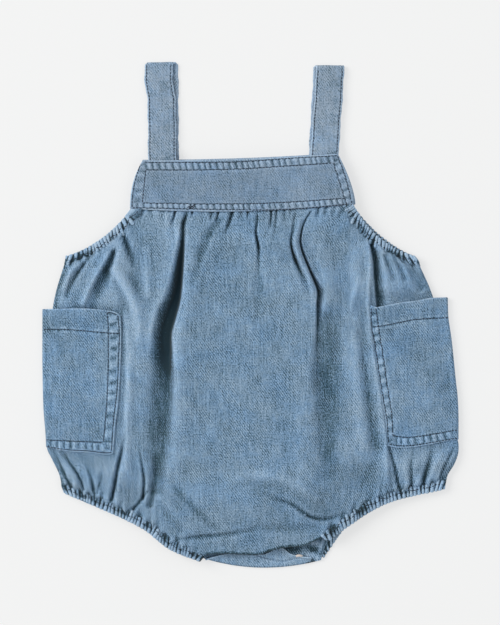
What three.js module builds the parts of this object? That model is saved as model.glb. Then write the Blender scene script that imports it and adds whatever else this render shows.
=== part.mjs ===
// A baby's bubble romper of light-wash denim, laid flat on its back.
// Millimetres: +X across the front, +Y towards the shoulders, +Z up from the surface it lies on.
import * as THREE from "three";

// ---------------------------------------------------------------- sizes
const GAP = 0.3; // clearance at every seam and between the layers
const SEAM_ROOM = 2 * GAP; // keeps that clearance where curves are cut into straight steps
const HALF_WIDTH = 170; // outer folds of the two pockets
const HALF_LENGTH = 205.4; // shoulder fold to crotch edge
const CLOTH = 1.2; // one layer of denim with its turnings
const YOKE_WALL = 1.6; // two layers
// Each strap lies `loft` over its back leaf, and is level again this far from the yokes.
const STRAP = { wall: 1.5, width: 23.5, loft: 2.6,
  leavesFront: 3, levelFront: 16, offBack: 4, levelBack: 12 };
const BAND = { wall: 1.5, width: 7.5 };
const SNAP = { radius: 3.2, taper: 0.85, height: 1.6, sides: 14, fromHem: 6 };
const HALF_TURN = [30, 60, 90, 120, 150]; // degrees round a folded edge
const POCKET_TURN = [20, 55, 90, 125, 160];

// Names of the levels across the front, with their height up the garment.
const LEVEL = { yoke: 84, chest: 50, waist: 10, hip: -50, seat: -110, leg: -160 };

// Folds of the front panel: where each runs at every level, how far it rises (or sinks) and its reach.
const FRONT_FOLDS = [
  { name: "side swell", yoke: -80, chest: -94, waist: -96, hip: -96, seat: -99, leg: -97,
    rise: 1.4, half: 8, starts: 70, ends: -125 },
  { name: "deep pleat", yoke: -57, chest: -56, waist: -63, hip: -75, seat: -82, leg: -80,
    rise: -5.4, half: 8, starts: 82, ends: -120 },
  { name: "yoke tuck", yoke: -32, chest: -38, waist: -40, hip: -42, seat: -42, leg: -38,
    rise: -2, half: 8, starts: 82, ends: 20 },
  { name: "centre tuck", yoke: 5, chest: 6, waist: 6, hip: 8, seat: 8, leg: 8,
    rise: -3, half: 6, starts: 80, ends: 5 },
  { name: "rolled pleat", yoke: 42, chest: 43, waist: 54, hip: 55, seat: 58, leg: 56,
    rise: -4.6, half: 7, starts: 82, ends: -40 },
  { name: "right swell", yoke: 62, chest: 72, waist: 80, hip: 82, seat: 88, leg: 80,
    rise: 1.8, half: 9, starts: 60, ends: -130 },
  { name: "underarm fold", yoke: 80, chest: 99, waist: 106, hip: 106, seat: 112, leg: 104,
    rise: -2.2, half: 6, starts: 50, ends: 34 },
];

// Outline, outer edges. The two sides differ a little, as the cloth lies.
const YOKE = {
  bottom: { left: [-97, 86.3], sag: [-20, 80], right: [84, 90] },
  top: { left: [-87, 124.6], dip: [-10, 124.4], right: [71, 130] },
  flare: { left: 2.3, right: 1.6 }, // how late each side edge swings out
};
const ARMHOLE = {
  left: { yoke: [-97, 85.6], pull: [-118, 58], side: [-149, 47.5] },
  right: { yoke: [84, 89.2], pull: [104, 60], side: [134.5, 47] },
};
const LEG = {
  left: [[-152, -145], [-92, -171.5], [-66, -190.5], [-41, -200.5]],
  right: [[158.5, -142], [112, -153.5], [80, -172], [64, -184]],
};
const SIDE = {
  left: [[-152, -145], [-155, -130], [-162, -112], [-163, -60], [-160.5, 4], [-149, 47.5]],
  right: [[158.5, -142], [161, -130], [166, -114], [162, -60], [150, 10], [134.5, 47]],
};
const HEM = { left: [-36.5, -194.8], sag: [30, -196.5], right: [64, -176] };
const CROTCH = { left: [-36.4, -196.2], sag: [8, -213.1], right: [58, -199.5] };
const POCKET = {
  left: { top: [[-106, 1], [-170, 3.5]], bottom: [[-111.5, -110.5], [-166, -107]] },
  right: { top: [[98, 7], [161.5, 14]], bottom: [[112, -105.5], [170, -99.5]] },
  backReach: 112, // how near the middle the hidden back half comes
};
const STRAPS = {
  left: { front: [[-71, 112], [-70.8, 125], [-71.4, 165], [-73.4, 205.4]],
    back: [[-70, 112], [-70, 125], [-70.2, 165], [-70.8, 205.4]] },
  right: { front: [[60.4, 116], [60.8, 129], [63.2, 165], [65.4, 203]],
    back: [[59.6, 116], [59.8, 129], [61.8, 165], [64, 203]] },
};
const SNAPS = [
  { name: "left", x: -16, y: -188.5, tilt: 0 },
  { name: "middle", x: 12, y: -187.5, tilt: 0 },
  { name: "right", x: 40, y: -194.5, tilt: 0.45 },
];

// ---------------------------------------------------------------- curves
const clamp = (t) => Math.min(1, Math.max(0, t));
const smooth = (t) => clamp(t) ** 2 * (3 - 2 * clamp(t));
const mix = (a, b, t) => a + (b - a) * t;
const vec = ([x, y]) => new THREE.Vector2(x, y);
const bow = (from, pull, to) => new THREE.QuadraticBezierCurve(vec(from), vec(pull), vec(to));
const through = (points) => new THREE.SplineCurve(points.map(vec));

// Reads a curve as a graph: the value of one coordinate where the other has a given value.
const GRAPH_SAMPLES = 60;
function graph(curve, known, wanted) {
  const samples = [...curve.getPoints(GRAPH_SAMPLES)].sort((a, b) => a[known] - b[known]);
  return (at) => {
    const last = samples.length - 1;
    let i = 1;
    while (i < last && samples[i][known] < at) i++;
    const [a, b] = [samples[i - 1], samples[i]];
    return mix(a[wanted], b[wanted], clamp((at - a[known]) / (b[known] - a[known])));
  };
}

const yokeSeam = graph(bow(YOKE.bottom.left, YOKE.bottom.sag, YOKE.bottom.right), "x", "y");
const armholeEdge = {
  left: bow(ARMHOLE.left.yoke, ARMHOLE.left.pull, ARMHOLE.left.side),
  right: bow(ARMHOLE.right.yoke, ARMHOLE.right.pull, ARMHOLE.right.side),
};
const legEdge = { left: through(LEG.left), right: through(LEG.right) };
const backLegEdge = {
  left: legEdge.left,
  right: through([...LEG.right.slice(0, 3), [60.5, -198]]),
};
const sideEdge = {
  left: graph(through(SIDE.left), "y", "x"),
  right: graph(through(SIDE.right), "y", "x"),
};

// Where one edge of a band runs, `inset` in from the outer edge. Its two ends are mitred to what they meet.
const MITRE_SHARE = 0.2; // of the band's length, at each end
function bandEdge(curve, inset, ends) {
  const points = [];
  const steps = 12;
  for (let i = 0; i <= steps; i++) {
    const t = i / steps;
    const tangent = curve.getTangent(t);
    const normal = new THREE.Vector2(-tangent.y, tangent.x).multiplyScalar(ends.turn);
    const atStart = vec(ends.start).lerp(normal, smooth(t / MITRE_SHARE));
    const across = atStart.lerp(vec(ends.end), smooth((t - 1) / MITRE_SHARE + 1));
    points.push(curve.getPoint(t).addScaledVector(across, inset));
  }
  return points;
}
const MITRE = {
  armhole: {
    left: { start: [1.25, 0], end: [-0.2, -1], turn: 1 },
    right: { start: [-1.1, -0.12], end: [0.5, -1], turn: -1 },
  },
  leg: {
    left: { start: [-0.22, 1], end: [0.5, 0.55], turn: 1 },
    right: { start: [0.15, 1], end: [-0.9, 0.6], turn: -1 },
  },
};

// ---------------------------------------------------------------- heights
// The back panel lies on the table and rides up over the hidden halves of the pockets.
const BACK_LIFT = CLOTH + GAP;
const LIFT_FROM = 102;
const LIFT_RUN = 8;
const backUnderside = (x) => BACK_LIFT * smooth((Math.abs(x) - LIFT_FROM) / LIFT_RUN);

// The front's edges (yoke, bands, crotch hem) stand off the back by this much.
const SIDE_SEAM = BACK_LIFT + CLOTH + GAP;
const EDGE = { side: SIDE_SEAM + 0.4, rise: 5, outer: 150, run: 90 };
const edgeHeight = (x) => EDGE.side + EDGE.rise * smooth((EDGE.outer - Math.abs(x)) / EDGE.run);

// The fullness of the front: a straight flank under each pocket, then a crown.
const FLANK = { width: 54, slope: 0.11 };
const CROWN = { rise: 6.5, run: 60 };
const inFromSide = (x, y) => Math.min(x - sideEdge.left(y), sideEdge.right(y) - x);
function loft(x, y) {
  const inset = inFromSide(x, y);
  return SIDE_SEAM + FLANK.slope * Math.min(inset, FLANK.width)
    + CROWN.rise * smooth((inset - FLANK.width) / CROWN.run);
}

// Top and bottom boundary of a panel, read at a place across it.
function boundary(bandsAbove, seam, bandsBelow, hem) {
  const left = graph({ getPoints: () => bandsAbove.left }, "x", "y");
  const right = graph({ getPoints: () => bandsAbove.right }, "x", "y");
  const legLeft = graph({ getPoints: () => bandsBelow.left }, "x", "y");
  const legRight = graph({ getPoints: () => bandsBelow.right }, "x", "y");
  const reach = {
    armLeft: bandsAbove.left[0].x, armRight: bandsAbove.right[0].x,
    legLeft: bandsBelow.left[bandsBelow.left.length - 1].x,
    legRight: bandsBelow.right[bandsBelow.right.length - 1].x,
  };
  return {
    top: (x) => (x < reach.armLeft ? left(x) : x > reach.armRight ? right(x) : seam(x) - SEAM_ROOM),
    bottom: (x) => (x < reach.legLeft ? legLeft(x) : x > reach.legRight ? legRight(x) : hem(x)),
  };
}
const innerEdges = (curves, mitres) => ({
  left: bandEdge(curves.left, BAND.width + SEAM_ROOM, mitres.left),
  right: bandEdge(curves.right, BAND.width + SEAM_ROOM, mitres.right),
});
const armInner = innerEdges(armholeEdge, MITRE.armhole);
const frontBounds = boundary(armInner, yokeSeam, innerEdges(legEdge, MITRE.leg),
  graph(bow(HEM.left, HEM.sag, HEM.right), "x", "y"));
const backBounds = boundary(armInner, yokeSeam, innerEdges(backLegEdge, MITRE.leg),
  graph(bow(CROTCH.left, CROTCH.sag, CROTCH.right), "x", "y"));

// A value given by name at every level, read at any height.
function atLevel(row, y) {
  const names = Object.keys(LEVEL);
  let i = 1;
  while (i < names.length - 1 && LEVEL[names[i]] > y) i++;
  const [above, below] = [names[i - 1], names[i]];
  return mix(row[above], row[below], clamp((LEVEL[above] - y) / (LEVEL[above] - LEVEL[below])));
}
const FOLD_FADE = { start: 16, end: 28 }; // how softly a fold starts and ends
function foldRise(fold, x, y) {
  const aside = Math.abs(x - atLevel(fold, y)) / fold.half;
  const fade = smooth((fold.starts - y) / FOLD_FADE.start + 0.5)
    * smooth((y - fold.ends) / FOLD_FADE.end + 0.5);
  return aside < 1 ? fold.rise * (0.5 + 0.5 * Math.cos(Math.PI * aside)) * fade : 0;
}
// The front rises from its top and bottom edges over these distances, longer in the middle than outside.
const RISE = { middleFrom: 130, middleRun: 60, top: [18, 34], bottom: [22, 60] };
function frontUnderside(x, y) {
  const edge = edgeHeight(x);
  const middle = smooth((RISE.middleFrom - Math.abs(x)) / RISE.middleRun);
  const fromTop = smooth((frontBounds.top(x) - y) / mix(...RISE.top, middle));
  const fromBottom = smooth((y - frontBounds.bottom(x)) / mix(...RISE.bottom, middle));
  const folds = FRONT_FOLDS.reduce((sum, fold) => sum + foldRise(fold, x, y), 0);
  return edge + (loft(x, y) - edge + folds) * Math.min(fromTop, fromBottom);
}

// ---------------------------------------------------------------- cloth
// A wall of cloth: a grid of points on its face, the same grid on its back, closed round the rim.
function wall(face, back) {
  const rows = face.length;
  const columns = face[0].length;
  const position = [...face, ...back].flat(2);
  const id = (side, r, c) => (side * rows + r) * columns + c;
  const index = [];
  const quad = (a, b, c, d) => index.push(a, b, c, a, c, d);
  for (let r = 0; r < rows - 1; r++) {
    for (let c = 0; c < columns - 1; c++) {
      quad(id(0, r, c), id(0, r, c + 1), id(0, r + 1, c + 1), id(0, r + 1, c));
      quad(id(1, r, c), id(1, r + 1, c), id(1, r + 1, c + 1), id(1, r, c + 1));
    }
  }
  for (let c = 0; c < columns - 1; c++) {
    const last = rows - 1;
    quad(id(0, 0, c), id(1, 0, c), id(1, 0, c + 1), id(0, 0, c + 1));
    quad(id(0, last, c), id(0, last, c + 1), id(1, last, c + 1), id(1, last, c));
  }
  for (let r = 0; r < rows - 1; r++) {
    const last = columns - 1;
    quad(id(0, r, 0), id(0, r + 1, 0), id(1, r + 1, 0), id(1, r, 0));
    quad(id(0, r, last), id(1, r, last), id(1, r + 1, last), id(0, r + 1, last));
  }
  if (signedVolume(position, index) < 0) index.reverse();
  const geometry = new THREE.BufferGeometry();
  geometry.setAttribute("position", new THREE.Float32BufferAttribute(position, 3));
  geometry.setIndex(index);
  geometry.computeVertexNormals();
  return geometry;
}
function signedVolume(position, index) {
  const corner = (i) => new THREE.Vector3().fromArray(position, 3 * index[i]);
  let volume = 0;
  for (let i = 0; i < index.length; i += 3) {
    volume += corner(i).dot(corner(i + 1).cross(corner(i + 2))) / 6;
  }
  return volume;
}

// Cloth that lies as a height over the table: plan points and the height of its underside.
function laid(plan, underside, thickness) {
  const lifted = (extra) => plan.map((row) => row.map(([x, y]) => [x, y, underside(x, y) + extra]));
  return wall(lifted(thickness), lifted(0));
}

// Cloth wrapped along a path: rows of {centre, across, out}, with as many columns as asked.
function wrapped(stations, width, thickness, columns = 2) {
  const side = (sign) => stations.map(({ centre, across, out }) =>
    Array.from({ length: columns }, (_, c) => centre.clone()
      .addScaledVector(across, width * (c / (columns - 1) - 0.5))
      .addScaledVector(out, (sign * thickness) / 2).toArray()));
  return wall(side(1), side(-1));
}

// ---------------------------------------------------------------- panels
// Columns of a panel run along its fold lines, with `steps` narrow strips between two lines.
const END_CROWDING = 0.55; // how much closer the rows are near the seams
const LINE_PASSES = 4; // each pass brings a place on a slanting line closer
function panelPlan(lines, bounds, rows) {
  const plan = [];
  for (let r = 0; r <= rows; r++) {
    const even = r / rows;
    const v = mix(even, 0.5 - 0.5 * Math.cos(Math.PI * even), END_CROWDING);
    const stops = lines.map(({ x, steps }) => {
      let place = x(0);
      for (let pass = 0; pass < LINE_PASSES; pass++) {
        place = x(mix(bounds.bottom(place), bounds.top(place), v));
      }
      return { x: place, steps };
    });
    const row = [];
    stops.forEach((stop, i) => {
      if (i === 0) return;
      const before = stops[i - 1];
      for (let s = 0; s < stop.steps; s++) {
        const t = s / stop.steps;
        const x = mix(before.x, stop.x, t);
        row.push([x, mix(bounds.bottom(x), bounds.top(x), v)]);
      }
    });
    const end = stops[stops.length - 1].x;
    row.push([end, mix(bounds.bottom(end), bounds.top(end), v)]);
    plan.push(row);
  }
  return plan;
}
const straight = (x) => () => x;
const sideLines = {
  left: (y) => sideEdge.left(y) + GAP,
  right: (y) => sideEdge.right(y) - GAP,
};

function frontPanel() {
  const lines = [{ x: sideLines.left, steps: 0 }];
  FRONT_FOLDS.forEach((fold, i) => {
    lines.push({ x: (y) => atLevel(fold, y) - fold.half, steps: i === 0 ? 5 : 2 });
    lines.push({ x: (y) => atLevel(fold, y), steps: 2 });
    lines.push({ x: (y) => atLevel(fold, y) + fold.half, steps: 2 });
  });
  lines.push({ x: sideLines.right, steps: 4 });
  return laid(panelPlan(lines, frontBounds, 22), frontUnderside, CLOTH);
}

const HIP = 36; // where the leg curves meet the straight crotch edge
function backPanel() {
  const lines = [
    { x: sideLines.left, steps: 0 },
    { x: straight(-LIFT_FROM - LIFT_RUN), steps: 6 },
    { x: straight(-LIFT_FROM), steps: 2 },
    { x: straight(-HIP), steps: 10 },
    { x: straight(HIP), steps: 4 },
    { x: straight(LIFT_FROM), steps: 10 },
    { x: straight(LIFT_FROM + LIFT_RUN), steps: 2 },
    { x: sideLines.right, steps: 6 },
  ];
  return laid(panelPlan(lines, backBounds, 10), backUnderside, CLOTH);
}

// ---------------------------------------------------------------- yokes
const YOKE_GRID = { rows: 5, columns: 14 };
function yokePlan({ up, right }) {
  const top = bow(YOKE.top.left, YOKE.top.dip, YOKE.top.right);
  const bottom = bow(YOKE.bottom.left, YOKE.bottom.sag, YOKE.bottom.right);
  const plan = [];
  for (let r = 0; r <= YOKE_GRID.rows; r++) {
    const v = r / YOKE_GRID.rows;
    const x0 = mix(YOKE.bottom.left[0], YOKE.top.left[0], v ** YOKE.flare.left);
    const x1 = mix(YOKE.bottom.right[0], YOKE.top.right[0], v ** YOKE.flare.right) + right * (1 - v);
    const row = [];
    for (let c = 0; c <= YOKE_GRID.columns; c++) {
      const u = c / YOKE_GRID.columns;
      row.push([mix(x0, x1, u), mix(bottom.getPoint(u).y, top.getPoint(u).y + up, v)]);
    }
    plan.push(row);
  }
  return plan;
}
const frontYoke = () => laid(yokePlan({ up: 0, right: 0 }), edgeHeight, YOKE_WALL);
const backYoke = () => laid(yokePlan({ up: 1, right: 1.4 }), () => 0, YOKE_WALL);

// ---------------------------------------------------------------- bands
// An elastic casing: out along the front edge, folded at the side corner, back along the back edge.
function band(front, back, mitre, foldFirst) {
  const inner = { front: bandEdge(front, BAND.width, mitre), back: bandEdge(back, BAND.width, mitre) };
  const outer = { front: bandEdge(front, 0, mitre), back: bandEdge(back, 0, mitre) };
  const run = (layer, height) => outer[layer].map((edge, i) => {
    const other = inner[layer][i];
    const z = (p) => height(p.x) + BAND.wall / 2;
    return [new THREE.Vector3(edge.x, edge.y, z(edge)), new THREE.Vector3(other.x, other.y, z(other))];
  });
  const order = (rows) => (foldFirst ? rows.reverse() : rows);
  const frontRows = order(run("front", edgeHeight));
  const backRows = order(run("back", backUnderside)).reverse();
  const last = frontRows[frontRows.length - 1];
  const first = backRows[0];
  const along = last[0].clone().sub(frontRows[frontRows.length - 2][0]).setZ(0).normalize();
  const rows = [
    ...frontRows.map((pair) => ({ pair, out: new THREE.Vector3(0, 0, 1) })),
    ...HALF_TURN.map((degrees) => {
      const angle = THREE.MathUtils.degToRad(degrees);
      const out = new THREE.Vector3(0, 0, Math.cos(angle)).addScaledVector(along, Math.sin(angle));
      const pair = last.map((p, i) => {
        const centre = p.clone().lerp(first[i], 0.5);
        const radius = p.distanceTo(first[i]) / 2;
        return centre.addScaledVector(out, radius);
      });
      return { pair, out };
    }),
    ...backRows.map((pair) => ({ pair, out: new THREE.Vector3(0, 0, -1) })),
  ];
  const side = (sign) => rows.map(({ pair, out }) =>
    pair.map((p) => p.clone().addScaledVector(out, (sign * BAND.wall) / 2).toArray()));
  return wall(side(1), side(-1));
}
const armholeBand = (hand) => band(armholeEdge[hand], armholeEdge[hand], MITRE.armhole[hand], false);
const legBand = (hand) => band(legEdge[hand], backLegEdge[hand], MITRE.leg[hand], true);

// ---------------------------------------------------------------- pockets
// A patch wrapped round the side: front half over the flank, fold, hidden half under the back panel.
function pocket(hand) {
  const { top, bottom } = POCKET[hand];
  const sign = hand === "left" ? -1 : 1;
  const frontColumns = 6;
  const levelShare = 0.2; // the last of the front half, level with the fold
  const face = [];
  const back = [];
  const rows = 7;
  for (let r = 0; r <= rows; r++) {
    const v = r / rows;
    const at = (t) => {
      const low = vec(bottom[0]).lerp(vec(bottom[1]), t);
      const high = vec(top[0]).lerp(vec(top[1]), t);
      return low.lerp(high, v);
    };
    const fold = at(1);
    fold.x = mix(fold.x, sign * HALF_WIDTH, Math.sin(Math.PI * v) ** 2 * (hand === "left" ? 1 : 0));
    const inner = at(0);
    const frontMiddle = (x, y) => loft(x, y) + CLOTH + SEAM_ROOM + CLOTH / 2;
    const foldFront = frontMiddle(fold.x, fold.y);
    const radius = (foldFront - CLOTH / 2) / 2;
    const turnX = fold.x - sign * (radius + CLOTH / 2);
    const faceRow = [];
    const backRow = [];
    const add = (x, y, z, outX, outZ) => {
      faceRow.push([x + (outX * CLOTH) / 2, y, z + (outZ * CLOTH) / 2]);
      backRow.push([x - (outX * CLOTH) / 2, y, z - (outZ * CLOTH) / 2]);
    };
    for (let c = 0; c < frontColumns; c++) {
      const t = c / (frontColumns - 1);
      const x = mix(inner.x, turnX, t);
      const y = mix(inner.y, fold.y, t);
      add(x, y, mix(frontMiddle(x, y), foldFront, smooth((t - 1) / levelShare + 1)), 0, 1);
    }
    POCKET_TURN.forEach((degrees) => {
      const angle = THREE.MathUtils.degToRad(degrees);
      const [outX, outZ] = [sign * Math.sin(angle), Math.cos(angle)];
      add(turnX + radius * outX, fold.y, CLOTH / 2 + radius + radius * outZ, outX, outZ);
    });
    for (let c = 0; c < 3; c++) {
      add(mix(turnX, sign * POCKET.backReach, c / 2), mix(fold.y, inner.y, c / 2), CLOTH / 2, 0, -1);
    }
    face.push(faceRow);
    back.push(backRow);
  }
  return wall(face, back);
}

// ---------------------------------------------------------------- straps
// A flat tube: from under the front yoke up to the shoulder fold and down on to the back yoke.
function strap(hand) {
  const { front, back } = STRAPS[hand];
  const half = STRAP.wall / 2;
  const underYoke = (x) => edgeHeight(x) - SEAM_ROOM - half;
  const onYoke = YOKE_WALL + GAP + half;
  const frontFlat = half + STRAP.loft;
  const radius = (frontFlat - half) / 2;
  const stations = [];
  const across = new THREE.Vector3(1, 0, 0);
  const station = (x, y, z, outY, outZ, tilt = 0) => stations.push({
    centre: new THREE.Vector3(x, y, z),
    across: across.clone().setZ(tilt),
    out: new THREE.Vector3(0, outY, outZ),
  });
  const slope = (x) => (underYoke(x + half) - underYoke(x - half)) / STRAP.wall;
  const shoulder = front[3][1] - radius - half;
  const [[x0, y0], [x1, y1], [x2, y2], [x3]] = front;
  station(x0, y0, underYoke(x0), 0, 1, slope(x0));
  station(x1, y1 + STRAP.leavesFront, underYoke(x1), 0, 1, slope(x1));
  station(x1, y1 + STRAP.levelFront, mix(underYoke(x1), frontFlat, 0.6), 0, 1, slope(x1) / 2);
  station(x2, y2, frontFlat, 0, 1);
  station(x3, shoulder, frontFlat, 0, 1);
  HALF_TURN.forEach((degrees) => {
    const angle = THREE.MathUtils.degToRad(degrees);
    station(mix(x3, back[3][0], degrees / 180), shoulder + radius * Math.sin(angle),
      half + radius + radius * Math.cos(angle), Math.sin(angle), Math.cos(angle));
  });
  station(back[3][0], shoulder, half, 0, -1);
  station(back[2][0], back[2][1], half, 0, -1);
  station(back[1][0], back[1][1] + STRAP.levelBack, half, 0, -1);
  station(back[1][0], back[1][1] + STRAP.offBack, onYoke, 0, -1);
  station(back[0][0], back[0][1], onYoke, 0, -1);
  return wrapped(stations, STRAP.width, STRAP.wall, 3);
}

// ---------------------------------------------------------------- crotch
// The strip turned up inside the back panel's crotch edge.
const PLACKET = { left: -37.5, right: 50, bottomInset: 0.8, top: -184, rows: 3, columns: 12 };
const PLACKET_END = { first: 0.6, rise: 30 }; // its ends slant up by `rise` a column
const placketTop = CLOTH + GAP;
function crotchPlacket() {
  const edge = graph(bow(CROTCH.left, CROTCH.sag, CROTCH.right), "x", "y");
  const plan = [];
  for (let r = 0; r <= PLACKET.rows; r++) {
    const row = [];
    for (let c = 0; c <= PLACKET.columns; c++) {
      const x = mix(PLACKET.left, PLACKET.right, c / PLACKET.columns);
      const low = edge(x) + PLACKET.bottomInset;
      const fromEnd = Math.min(c, PLACKET.columns - c) + PLACKET_END.first;
      const high = Math.min(PLACKET.top, low + PLACKET_END.rise * fromEnd);
      row.push([x, mix(low, high, r / PLACKET.rows)]);
    }
    plan.push(row);
  }
  return laid(plan, () => placketTop, CLOTH);
}
function snap({ x, y, tilt }, floor, standsUp) {
  const geometry = new THREE.CylinderGeometry(SNAP.radius * SNAP.taper, SNAP.radius, SNAP.height, SNAP.sides);
  geometry.rotateX(standsUp ? Math.PI / 2 : -Math.PI / 2);
  geometry.rotateX(tilt);
  const lift = (SNAP.height / 2) * Math.cos(tilt) + SNAP.radius * Math.sin(tilt);
  geometry.translate(x, y, standsUp ? floor + lift : floor - lift);
  return geometry;
}

// ---------------------------------------------------------------- the garment
const denim = (color) => new THREE.MeshStandardMaterial({ color, roughness: 0.95, metalness: 0 });
const bodyDenim = denim(0x738ba1);
const yokeDenim = denim(0x788da5);
const strapDenim = denim(0x8698ab);
const pocketDenim = denim(0x728da7);
const plastic = new THREE.MeshStandardMaterial({ color: 0xd9cfc6, roughness: 0.45, metalness: 0 });

const romper = new THREE.Group();
function addPiece(name, geometry, material) {
  const mesh = new THREE.Mesh(geometry, material.clone());
  mesh.name = name;
  romper.add(mesh);
}
addPiece("front_panel", frontPanel(), bodyDenim);
addPiece("back_panel", backPanel(), bodyDenim);
addPiece("front_yoke", frontYoke(), yokeDenim);
addPiece("back_yoke", backYoke(), yokeDenim);
for (const hand of ["left", "right"]) {
  addPiece(`strap_${hand}`, strap(hand), strapDenim);
  addPiece(`pocket_${hand}`, pocket(hand), pocketDenim);
  addPiece(`armhole_band_${hand}`, armholeBand(hand), bodyDenim);
  addPiece(`leg_band_${hand}`, legBand(hand), bodyDenim);
}
addPiece("crotch_placket", crotchPlacket(), bodyDenim);
for (const place of SNAPS) {
  addPiece(`snap_socket_${place.name}`, snap(place, placketTop + CLOTH + GAP, true), plastic);
  const hemPlace = { x: place.x, y: frontBounds.bottom(place.x) + SNAP.fromHem, tilt: 0 };
  addPiece(`snap_stud_${place.name}`, snap(hemPlace, edgeHeight(place.x) - GAP, false), plastic);
}

export default romper;
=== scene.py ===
import math

import bpy
import numpy as np
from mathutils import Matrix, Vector
from mathutils.bvhtree import BVHTree


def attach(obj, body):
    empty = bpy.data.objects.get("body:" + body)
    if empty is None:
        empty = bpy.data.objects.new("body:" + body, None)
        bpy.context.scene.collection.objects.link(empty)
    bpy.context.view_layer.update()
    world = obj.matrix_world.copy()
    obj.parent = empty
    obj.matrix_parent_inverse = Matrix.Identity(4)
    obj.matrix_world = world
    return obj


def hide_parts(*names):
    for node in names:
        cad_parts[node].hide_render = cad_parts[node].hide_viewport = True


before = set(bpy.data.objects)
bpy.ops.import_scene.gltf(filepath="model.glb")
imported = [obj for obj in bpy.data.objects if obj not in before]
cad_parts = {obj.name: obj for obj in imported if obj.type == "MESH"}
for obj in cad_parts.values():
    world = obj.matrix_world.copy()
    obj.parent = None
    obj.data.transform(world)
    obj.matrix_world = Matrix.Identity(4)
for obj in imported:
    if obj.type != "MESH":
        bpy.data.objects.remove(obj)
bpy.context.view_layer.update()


# ---------------------------------------------------------------- camera
# The romper lies flat and is seen from straight above, through a long lens on a high stand. The stand
# is a touch nearer the shoulders than the garment's middle.
MM = 0.001  # this section and those below work in millimetres
VIEW_HEIGHT = 507.5 * MM  # what the camera takes in from top to bottom, at the cloth
CAMERA_HEIGHT = 2.4
CLOTH_LEVEL = 8 * MM
TOWARDS_SHOULDERS = 1.6 * MM
SENSOR = 36.0

camera = bpy.data.objects.new("camera", bpy.data.cameras.new("camera"))
bpy.context.scene.collection.objects.link(camera)
camera.data.sensor_fit = "VERTICAL"
camera.data.sensor_height = SENSOR
camera.data.lens = SENSOR * CAMERA_HEIGHT / VIEW_HEIGHT
camera.data.clip_end = 20
camera.location = (0, TOWARDS_SHOULDERS, CAMERA_HEIGHT + CLOTH_LEVEL)
bpy.context.scene.camera = camera
bpy.context.scene.view_settings.view_transform = "Standard"


# ---------------------------------------------------------------- light
# Soft studio light: a wide bank high on the left towards the shoulders, a weaker one on the right and
# an even pale room.
def light_bank(name, place, size, watts, tint):
    """A lit panel at a place in metres, turned to face the romper."""
    bank = bpy.data.objects.new(name, bpy.data.lights.new(name, "AREA"))
    bpy.context.scene.collection.objects.link(bank)
    bank.location = place
    bank.rotation_euler = (-Vector(place)).to_track_quat("-Z", "Y").to_euler()
    bank.data.shape = "RECTANGLE"
    bank.data.size, bank.data.size_y = size
    bank.data.energy = watts
    bank.data.color = tint


light_bank("key_bank", (-4.8, 2.0, 3.9), (3.6, 3.6), 300.0, (1.0, 0.985, 0.965))
light_bank("fill_bank", (3.2, -0.9, 5.2), (4.5, 4.5), 48.0, (0.97, 0.99, 1.0))

room = bpy.data.worlds.new("pale_room")
bpy.context.scene.world = room
room.use_nodes = True
room_light = room.node_tree.nodes["Background"].inputs
room_light["Color"].default_value = (0.945, 0.98, 1.0, 1.0)
room_light["Strength"].default_value = 0.52


# ---------------------------------------------------------------- floor
# A plain white table top, smooth and unpolished. It glows faintly, so that shadows on it stay weak. The
# romper lies on it loose, and the table is no part of the romper.
TABLE_REACH = 6.0
TABLE_GAP = 0.2 * MM


class Thread:
    """One value that runs through a material. Python's operators add its Math nodes."""

    def __init__(self, bench, socket):
        self.bench = bench
        self.socket = socket

    def _worked(self, operation, first, second):
        return self.bench.node("Math", {"operation": operation}, {0: first, 1: second})

    def __add__(self, other):
        return self._worked("ADD", self, other)

    def __sub__(self, other):
        return self._worked("SUBTRACT", self, other)

    def __rsub__(self, other):
        return self._worked("SUBTRACT", other, self)

    def __mul__(self, other):
        return self._worked("MULTIPLY", self, other)

    __radd__ = __add__
    __rmul__ = __mul__


class Bench:
    """The material that threads are laid in."""

    def __init__(self, name):
        self.material = bpy.data.materials.new(name)
        self.material.use_nodes = True
        self.tree = self.material.node_tree
        self.tree.nodes.clear()

    def node(self, kind, settings=None, sockets=None, output=0):
        """Adds a node of a kind, with its settings and what its sockets hold, and gives one output."""
        made = self.tree.nodes.new("ShaderNode" + kind)
        for key, value in (settings or {}).items():
            if key == "stops":
                ramp = made.color_ramp.elements
                while len(ramp) < len(value):
                    ramp.new(1.0)
                for stop, (place, colour) in zip(ramp, value):
                    stop.position = place
                    stop.color = (*colour, 1.0)
            else:
                setattr(made, key, value)
        for key, value in (sockets or {}).items():
            if isinstance(value, Thread):
                self.tree.links.new(value.socket, made.inputs[key])
            else:
                made.inputs[key].default_value = value
        return Thread(self, made.outputs[output]) if made.outputs else None

    def finish(self, surface):
        self.node("OutputMaterial", None, {"Surface": surface})
        return self.material


def linear(red, green, blue):
    """A colour as it is seen, 0 to 255, in the scene's linear light."""
    parts = (red / 255, green / 255, blue / 255)
    return tuple(p / 12.92 if p <= 0.04045 else ((p + 0.055) / 1.055) ** 2.4 for p in parts)


def pale_table():
    bench = Bench("pale_table")
    return bench.finish(bench.node("BsdfPrincipled", None, {
        "Base Color": (0.30, 0.30, 0.298, 1.0), "Roughness": 0.9, "Specular IOR Level": 0.0,
        "Emission Color": (1.0, 1.0, 1.0, 1.0), "Emission Strength": 0.60}))


table_mesh = bpy.data.meshes.new("table")
table_corners = [(TABLE_REACH * side, TABLE_REACH * end, 0)
                 for side, end in ((-1, -1), (1, -1), (1, 1), (-1, 1))]
table_mesh.from_pydata(table_corners, [], [(0, 1, 2, 3)])
table = bpy.data.objects.new("table", table_mesh)
bpy.context.scene.collection.objects.link(table)
table.location.z = -TABLE_GAP
table_mesh.materials.append(pale_table())


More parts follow.
